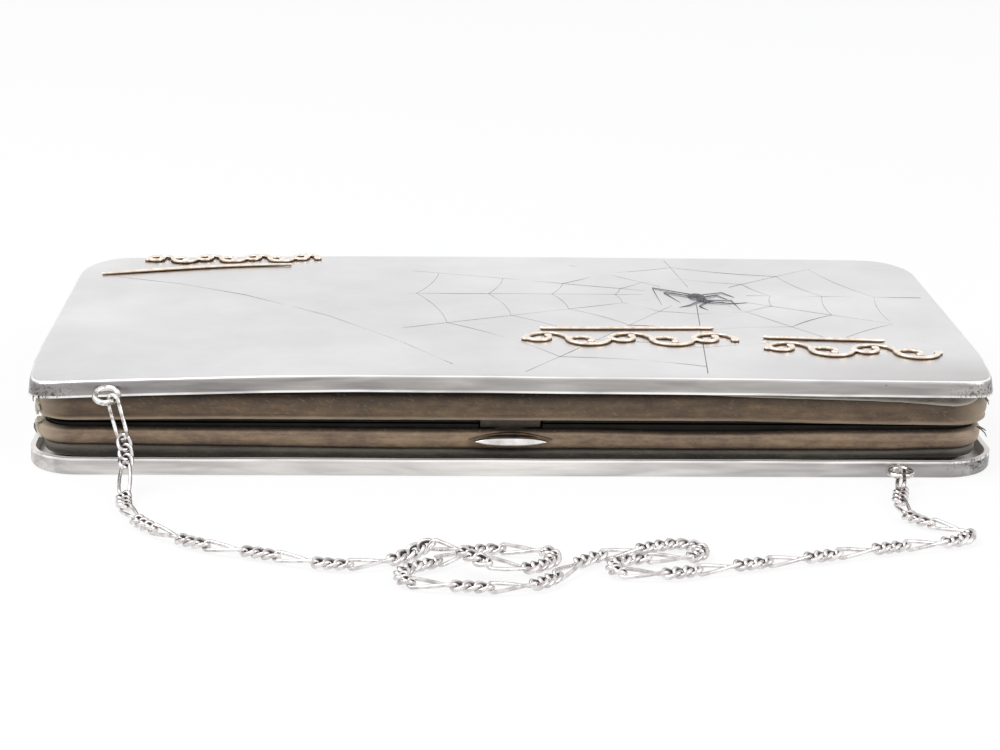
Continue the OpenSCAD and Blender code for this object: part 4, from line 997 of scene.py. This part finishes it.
def makeButton():
    deselectAll()
    w, h = pushButton["width"] / 2, pushButton["height"] / 2
    x0, z0 = pushButton["middle"]
    bpy.ops.mesh.primitive_circle_add(vertices=64, radius=1, fill_type="NGON", rotation=(math.pi / 2, 0, 0))
    piece = bpy.context.active_object
    bpy.ops.object.transform_apply(location=True, rotation=True, scale=True)
    for v in piece.data.vertices:
        reach = h * max(0.0, 1 - abs(v.co.x) ** 3) ** 0.9
        v.co = Vector((v.co.x * w, 0, math.copysign(reach, v.co.z) if abs(v.co.z) > 1e-6 else 0)) * mm
    bpy.ops.object.mode_set(mode="EDIT")
    bpy.ops.mesh.select_all(action="SELECT")
    through = pushButton["front"] - pushButton["back"]
    bpy.ops.mesh.extrude_region_move(TRANSFORM_OT_translate={"value": (0, through * mm, 0)})
    for share, rise in ((0.97, 0.3), (0.9, 0.3), (0.75, 0.2), (0.5, 0.13), (0.2, 0.07)):
        bpy.ops.mesh.extrude_region_move(TRANSFORM_OT_translate={"value": (0, -pushButton["dome"] * rise * mm, 0)})
        bpy.ops.transform.resize(value=(share, 1, share), center_override=(0, 0, 0))
    bpy.ops.mesh.select_mode(type="EDGE")
    bpy.ops.mesh.select_all(action="DESELECT")
    bpy.ops.mesh.select_non_manifold()
    bpy.ops.mesh.edge_face_add()
    bpy.ops.mesh.select_all(action="SELECT")
    bpy.ops.mesh.normals_make_consistent(inside=False)
    bpy.ops.object.mode_set(mode="OBJECT")
    piece.location = Vector((x0, pushButton["back"], z0)) * mm
    bpy.ops.object.transform_apply(location=True, rotation=True, scale=True)
    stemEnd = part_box("push_button")[1].y / mm
    parts = [piece]
    for side in (-1, 1):
        deselectAll()
        bpy.ops.mesh.primitive_cylinder_add(
            vertices=20, radius=pushButton["stem"] * mm, depth=(stemEnd - pushButton["back"]) * mm,
            location=Vector((x0 + side * pushButton["stemReach"], (stemEnd + pushButton["back"]) / 2,
                             pushButton["stemHeight"])) * mm, rotation=(math.pi / 2, 0, 0))
        parts.append(bpy.context.active_object)
        bpy.ops.object.transform_apply(location=True, rotation=True, scale=True)
    deselectAll()
    for part in parts:
        part.select_set(True)
    bpy.context.view_layer.objects.active = piece
    bpy.ops.object.join()
    finishPiece(piece, "button_head", "button", buttonSilver, 50)
    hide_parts("push_button")


latchCoil = {"wire": 0.22, "turns": 4, "stepsEach": 14, "travel": 1.0}  # mm


def makeLatchCoil():
    # one wound wire, filling the spring's box from end to end
    low, high = [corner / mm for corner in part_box("latch_spring")]
    half = latchCoil["wire"] / 2
    radius = (high.z - low.z) / 2 - half
    middle = (low + high) / 2
    steps = latchCoil["turns"] * latchCoil["stepsEach"]
    curve = bpy.data.curves.new("latchCoil", "CURVE")
    curve.dimensions = "3D"
    curve.bevel_depth = half * mm
    curve.bevel_resolution = 2
    curve.use_fill_caps = True
    spline = curve.splines.new("POLY")
    spline.points.add(steps)
    for k, point in enumerate(spline.points):
        angle = 2 * math.pi * k / latchCoil["stepsEach"]
        y = low.y + half + (high.y - low.y - 2 * half) * k / steps
        point.co = (*(Vector((middle.x + radius * math.cos(angle), y, middle.z + radius * math.sin(angle))) * mm), 1)
    piece = bpy.data.objects.new("latchCoil", curve)
    bpy.context.scene.collection.objects.link(piece)
    takeUp(piece)
    bpy.ops.object.convert(target="MESH")
    piece = finishPiece(bpy.context.active_object, "latch_coil", "button", springSteel, 60)
    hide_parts("latch_spring")
    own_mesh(piece)


makeButton()
makeLatchCoil()
print("button and spring made")


# ---- gold ornaments: the solids' own outlines with softened edges

goldWork = {"softEdge": 0.16, "height": 0.5}  # mm


def softenGold(node):
    piece = nodes[node].copy()
    piece.data = nodes[node].data.copy()
    for key in [k for k in piece.keys() if k.startswith("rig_")]:
        del piece[key]
    piece.parent = None
    bpy.context.scene.collection.objects.link(piece)
    takeUp(piece)
    bpy.ops.object.mode_set(mode="EDIT")
    bpy.ops.mesh.select_all(action="SELECT")
    bpy.ops.mesh.remove_doubles(threshold=1e-6)
    bpy.ops.mesh.dissolve_limited(angle_limit=math.radians(1))
    bpy.ops.object.mode_set(mode="OBJECT")
    addModifier(piece, "BEVEL", width=goldWork["softEdge"] * mm, segments=3, limit_method="ANGLE",
                angle_limit=math.radians(40))
    finishPiece(piece, node + "_polished", "lid", roseGold, 50)
    # riseShare: height above the lid, for the painted shade toward the foot of the sides
    rise = piece.data.attributes.new("riseShare", "FLOAT", "POINT")
    for v in piece.data.vertices:
        x, y, z = v.co / mm
        rise.data[v.index].value = (z - lidHeight(x, y)) / goldWork["height"]
    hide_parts(node)


for goldNode in ("gold_scroll_left", "gold_plume_left", "gold_scroll_middle", "gold_bar_middle",
                 "gold_scroll_right", "gold_bar_right"):
    softenGold(goldNode)
print("gold softened")


# ---- engraved web on the lid: dark threads from spoke to spoke

web = {
    "middle": (33.3, 12.1),  # mm
    "thread": 0.05,  # half width of a cut
    "hand": (0.72, 0.97, 0.5, 8),  # a cut's least and usual width, how far it varies, and over how many mm
    "boldSpoke": 1.7,  # how much wider the spoke toward the front edge is cut
    "spokes": [  # angle in degrees, how far it starts and ends, then where the rings cross it
        (180, 9, 50, [14, 25, 36, 48.5]),
        (161, 9, 52, [13.5, 24, 35, 47]),
        (133, 8, 30, [12.5, 22]),
        (96, 6, 27, [12, 21]),
        (42, 9, 37, [12.5, 22, 31]),
        (0, 9, 41, [13.2, 22.3, 31.5]),
        (-31, 9, 49, [14.5, 25.5, 36.5]),
        (-57, 9, 47, [14, 25.5, 36.5]),
        (-94, 7, 51, [13.5, 24.5, 35.5, 47]),
        (-122, 9, 60, [14, 25, 36.5, 49]),
        (-155, 9, 56, [14.5, 25, 36, 48]),
    ],
    "slack": 0.045,  # how far a thread bows toward the middle, as a share of its length
    "outerThread": [(-68, 25.5), (-57, 20), (-45, 11.5), (-30, -3.4), (-18, -20), (-8, -37.5)],
}


def onLid(x, y, lift=0.0):
    return Vector((x, y, lidHeight(x, y) + lift))


def threadCurve(name, runs, halfWidth, depth):
    curve = bpy.data.curves.new(name, "CURVE")
    curve.dimensions = "3D"
    curve.bevel_depth = halfWidth * mm
    curve.bevel_resolution = 1
    curve.use_fill_caps = True
    for run in runs:
        spline = curve.splines.new("POLY")
        spline.points.add(len(run) - 1)
        cx, cy = web["middle"]
        downward = abs(run[0][0] - cx) < 2 and run[-1][1] < cy - 20
        least, usual, varies, every = web["hand"]
        for point, (x, y) in zip(spline.points, run):
            point.co = (*(onLid(x, y, -depth) * mm), 1)
            cut = max(least, usual + varies * noise.noise(Vector((x / every, y / every, 3.0))))
            point.radius = web["boldSpoke"] if downward else cut
    piece = bpy.data.objects.new(name, curve)
    bpy.context.scene.collection.objects.link(piece)
    takeUp(piece)
    bpy.ops.object.convert(target="MESH")
    return bpy.context.active_object


def insideLid(x, y):
    return abs(x) < 74.2 and abs(y) < 40.4


def makeWeb():
    cx, cy = web["middle"]

    def spokePoint(angle, reach):
        return (cx + reach * math.cos(math.radians(angle)), cy + reach * math.sin(math.radians(angle)))

    runs = []
    for angle, start, end, crossings in web["spokes"]:
        runs.append([spokePoint(angle, start + (end - start) * k / 24) for k in range(25)])
    ringed = web["spokes"] + [web["spokes"][0]]
    for first, second in zip(ringed, ringed[1:]):
        for reachA, reachB in zip(first[3], second[3]):
            a, b = Vector(spokePoint(first[0], reachA)), Vector(spokePoint(second[0], reachB))
            inward = (Vector((cx, cy)) - (a + b) / 2).normalized() * (web["slack"] * (b - a).length)
            runs.append([tuple(a.lerp(b, k / 12) + inward * (4 * (k / 12) * (1 - k / 12))) for k in range(13)])
    outer = [Vector(p) for p in web["outerThread"]]
    runs.append([tuple(a.lerp(b, k / 6)) for a, b in zip(outer, outer[1:]) for k in range(6)])
    clipped = []
    for run in runs:
        part = []
        for p in run:
            if insideLid(*p):
                part.append(p)
            elif len(part) > 1:
                clipped.append(part)
                part = []
            else:
                part = []
        if len(part) > 1:
            clipped.append(part)
    piece = threadCurve("engraved_web", clipped, web["thread"], web["thread"] * 0.55)
    finishPiece(piece, "engraved_web", "lid", darkNiello, 60)


makeWeb()
print("web engraved")


# ---- the spider: a domed body of three parts and eight thin legs

spiderInlay = {
    "place": (33.4, 10.4),  # mm
    "body": [  # middle, half length, half width and height of each part, and its turn in degrees
        ((0, 0.1), 1.9, 1.5, 0.6, -70),
        ((0.7, -1.8), 1.1, 0.9, 0.5, -70),
        ((1.4, -3.1), 0.7, 0.6, 0.4, -60),
    ],
    "legs": [
        [(-0.6, 1.2), (-7.1, 6.4), (-6.6, -5.4)],
        [(-1, 0.4), (-5.4, 3), (-3.2, -3.8)],
        [(0.6, -2.4), (-1.8, -5.8), (-3.8, -7.2)],
        [(1.4, -3.2), (-0.2, -6.4), (1, -9)],
        [(0.8, 1), (4.8, 3.4), (6.6, 0.4)],
        [(1.2, -0.6), (3.6, 1.4), (5.2, -1.2)],
        [(1.5, -2.8), (5.8, -2.2), (6.6, -8.8)],
        [(1.6, -3.3), (4.8, -4.4), (8.4, -3.6)],
    ],
    "legHalf": 0.1,
}


def makeSpider():
    px, py = spiderInlay["place"]
    parts = []
    for (x, y), halfLong, halfWide, high, turn in spiderInlay["body"]:
        deselectAll()
        bpy.ops.mesh.primitive_uv_sphere_add(segments=24, ring_count=14, radius=1 * mm)
        part = bpy.context.active_object
        bpy.ops.object.mode_set(mode="EDIT")
        bpy.ops.mesh.select_all(action="SELECT")
        bpy.ops.mesh.bisect(plane_co=(0, 0, 0), plane_no=(0, 0, 1), clear_inner=True, use_fill=True)
        bpy.ops.object.mode_set(mode="OBJECT")
        part.scale = (halfLong, halfWide, high)
        part.rotation_euler = (0, 0, math.radians(turn))
        part.location = onLid(px + x, py + y, -0.03) * mm
        bpy.ops.object.transform_apply(location=True, rotation=True, scale=True)
        parts.append(part)
    curve = bpy.data.curves.new("spiderLegs", "CURVE")
    curve.dimensions = "3D"
    curve.bevel_depth = spiderInlay["legHalf"] * mm
    curve.bevel_resolution = 1
    curve.use_fill_caps = True
    for hip, knee, foot in spiderInlay["legs"]:
        spline = curve.splines.new("POLY")
        spline.points.add(2)
        for point, (x, y), radius, lift in zip(spline.points, (hip, knee, foot), (1, 0.75, 0.4), (0.2, 0.1, 0)):
            point.co = (*(onLid(px + x, py + y, lift) * mm), 1)
            point.radius = radius
    legs = bpy.data.objects.new("spiderLegs", curve)
    bpy.context.scene.collection.objects.link(legs)
    takeUp(legs)
    bpy.ops.object.convert(target="MESH")
    for part in parts:
        part.select_set(True)
    bpy.ops.object.join()
    piece = finishPiece(bpy.context.active_object, "spider_inlay", "lid", darkNiello, 50)
    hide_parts("spider")


makeSpider()
print("spider set")


# ---- finishes of the nodes that stay as the solids have them

for node, material in {
    "lower_eye": wireSilver, "upper_eye": wireSilver, "upper_end_link": wireSilver, "lower_end_link": wireSilver,
    "button_plate": plateSilver, "band_rivets": buttonSilver,
    "upper_board": boardLeather,
    "lower_filler": cardFiller, "upper_filler": cardFiller,
    "lower_lining": liningSilk, "upper_lining": liningSilk, "elastic_band": elasticWeb,
    "lower_frame": blackFrame, "upper_frame": blackFrame, "hinge_pin": springSteel,
    "latch_bar": springSteel, "spring_bridge": springSteel,
    "catch_tongue": tongueSteel,
}.items():
    nodes[node].data.materials.clear()
    nodes[node].data.materials.append(material)
print("finishes given")


# ---- floor, backdrop and light

studio = {
    "floorSize": 6,  # m
    "floorTone": "#f4f4f3",
    "floorGlow": 0.88,  # share of plain white that the camera and the metal see in the floor
    "skyTone": "#f1f3f6",
    "skyStrength": 0.62,
    "lamps": [  # place and aim in m, size in m, watts
        ((-0.5, -0.15, 0.75), (0, 0, 0), 0.6, 5.0),
        ((0.65, -0.5, 0.55), (0, 0, 0), 0.5, 2.6),
    ],
}


def seenPlainly(tree):
    # 1 for what the camera, polished metal and glass see
    path = addNode(tree, "ShaderNodeLightPath")
    shiny = addNode(tree, "ShaderNodeMath", links={0: path.outputs["Is Camera Ray"],
                                                   1: path.outputs["Is Glossy Ray"]}, operation="MAXIMUM")
    return addNode(tree, "ShaderNodeMath", links={0: shiny.outputs[0],
                                                  1: path.outputs["Is Transmission Ray"]},
                   operation="MAXIMUM").outputs[0]


def makeStudio():
    deselectAll()
    bpy.ops.mesh.primitive_plane_add(size=studio["floorSize"])
    floor = bpy.context.active_object
    floor.name = "floor"
    material, tree = newMaterial("paperSweep")
    share = addNode(tree, "ShaderNodeMath", {1: studio["floorGlow"]}, {0: seenPlainly(tree)}, operation="MULTIPLY")
    paper = addNode(tree, "ShaderNodeBsdfDiffuse", {"Color": fromHex(studio["floorTone"])})
    white = addNode(tree, "ShaderNodeEmission", {"Strength": 1.0})
    mixed = addNode(tree, "ShaderNodeMixShader", links={0: share.outputs[0], 1: paper.outputs[0],
                                                        2: white.outputs[0]})
    addNode(tree, "ShaderNodeOutputMaterial", links={"Surface": mixed.outputs[0]})
    floor.data.materials.append(material)
    world = bpy.data.worlds.new("softStudio")
    bpy.context.scene.world = world
    world.use_nodes = True
    tree = world.node_tree
    tree.nodes.clear()
    sky = addNode(tree, "ShaderNodeBackground", {"Color": fromHex(studio["skyTone"]),
                                                 "Strength": studio["skyStrength"]})
    plain = addNode(tree, "ShaderNodeBackground", {"Color": (1, 1, 1, 1), "Strength": 1.0})
    both = addNode(tree, "ShaderNodeMixShader", links={0: seenPlainly(tree), 1: sky.outputs[0],
                                                       2: plain.outputs[0]})
    addNode(tree, "ShaderNodeOutputWorld", links={"Surface": both.outputs[0]})
    for i, (place, aim, size, power) in enumerate(studio["lamps"]):
        data = bpy.data.lights.new("softBox%d" % (i + 1), "AREA")
        data.size = size
        data.energy = power
        lamp = bpy.data.objects.new(data.name, data)
        lamp.location = place
        lamp.rotation_euler = (Vector(aim) - Vector(place)).to_track_quat("-Z", "Y").to_euler()
        bpy.context.scene.collection.objects.link(lamp)
    bpy.context.scene.view_settings.view_transform = "Standard"


makeStudio()
print("studio lit")
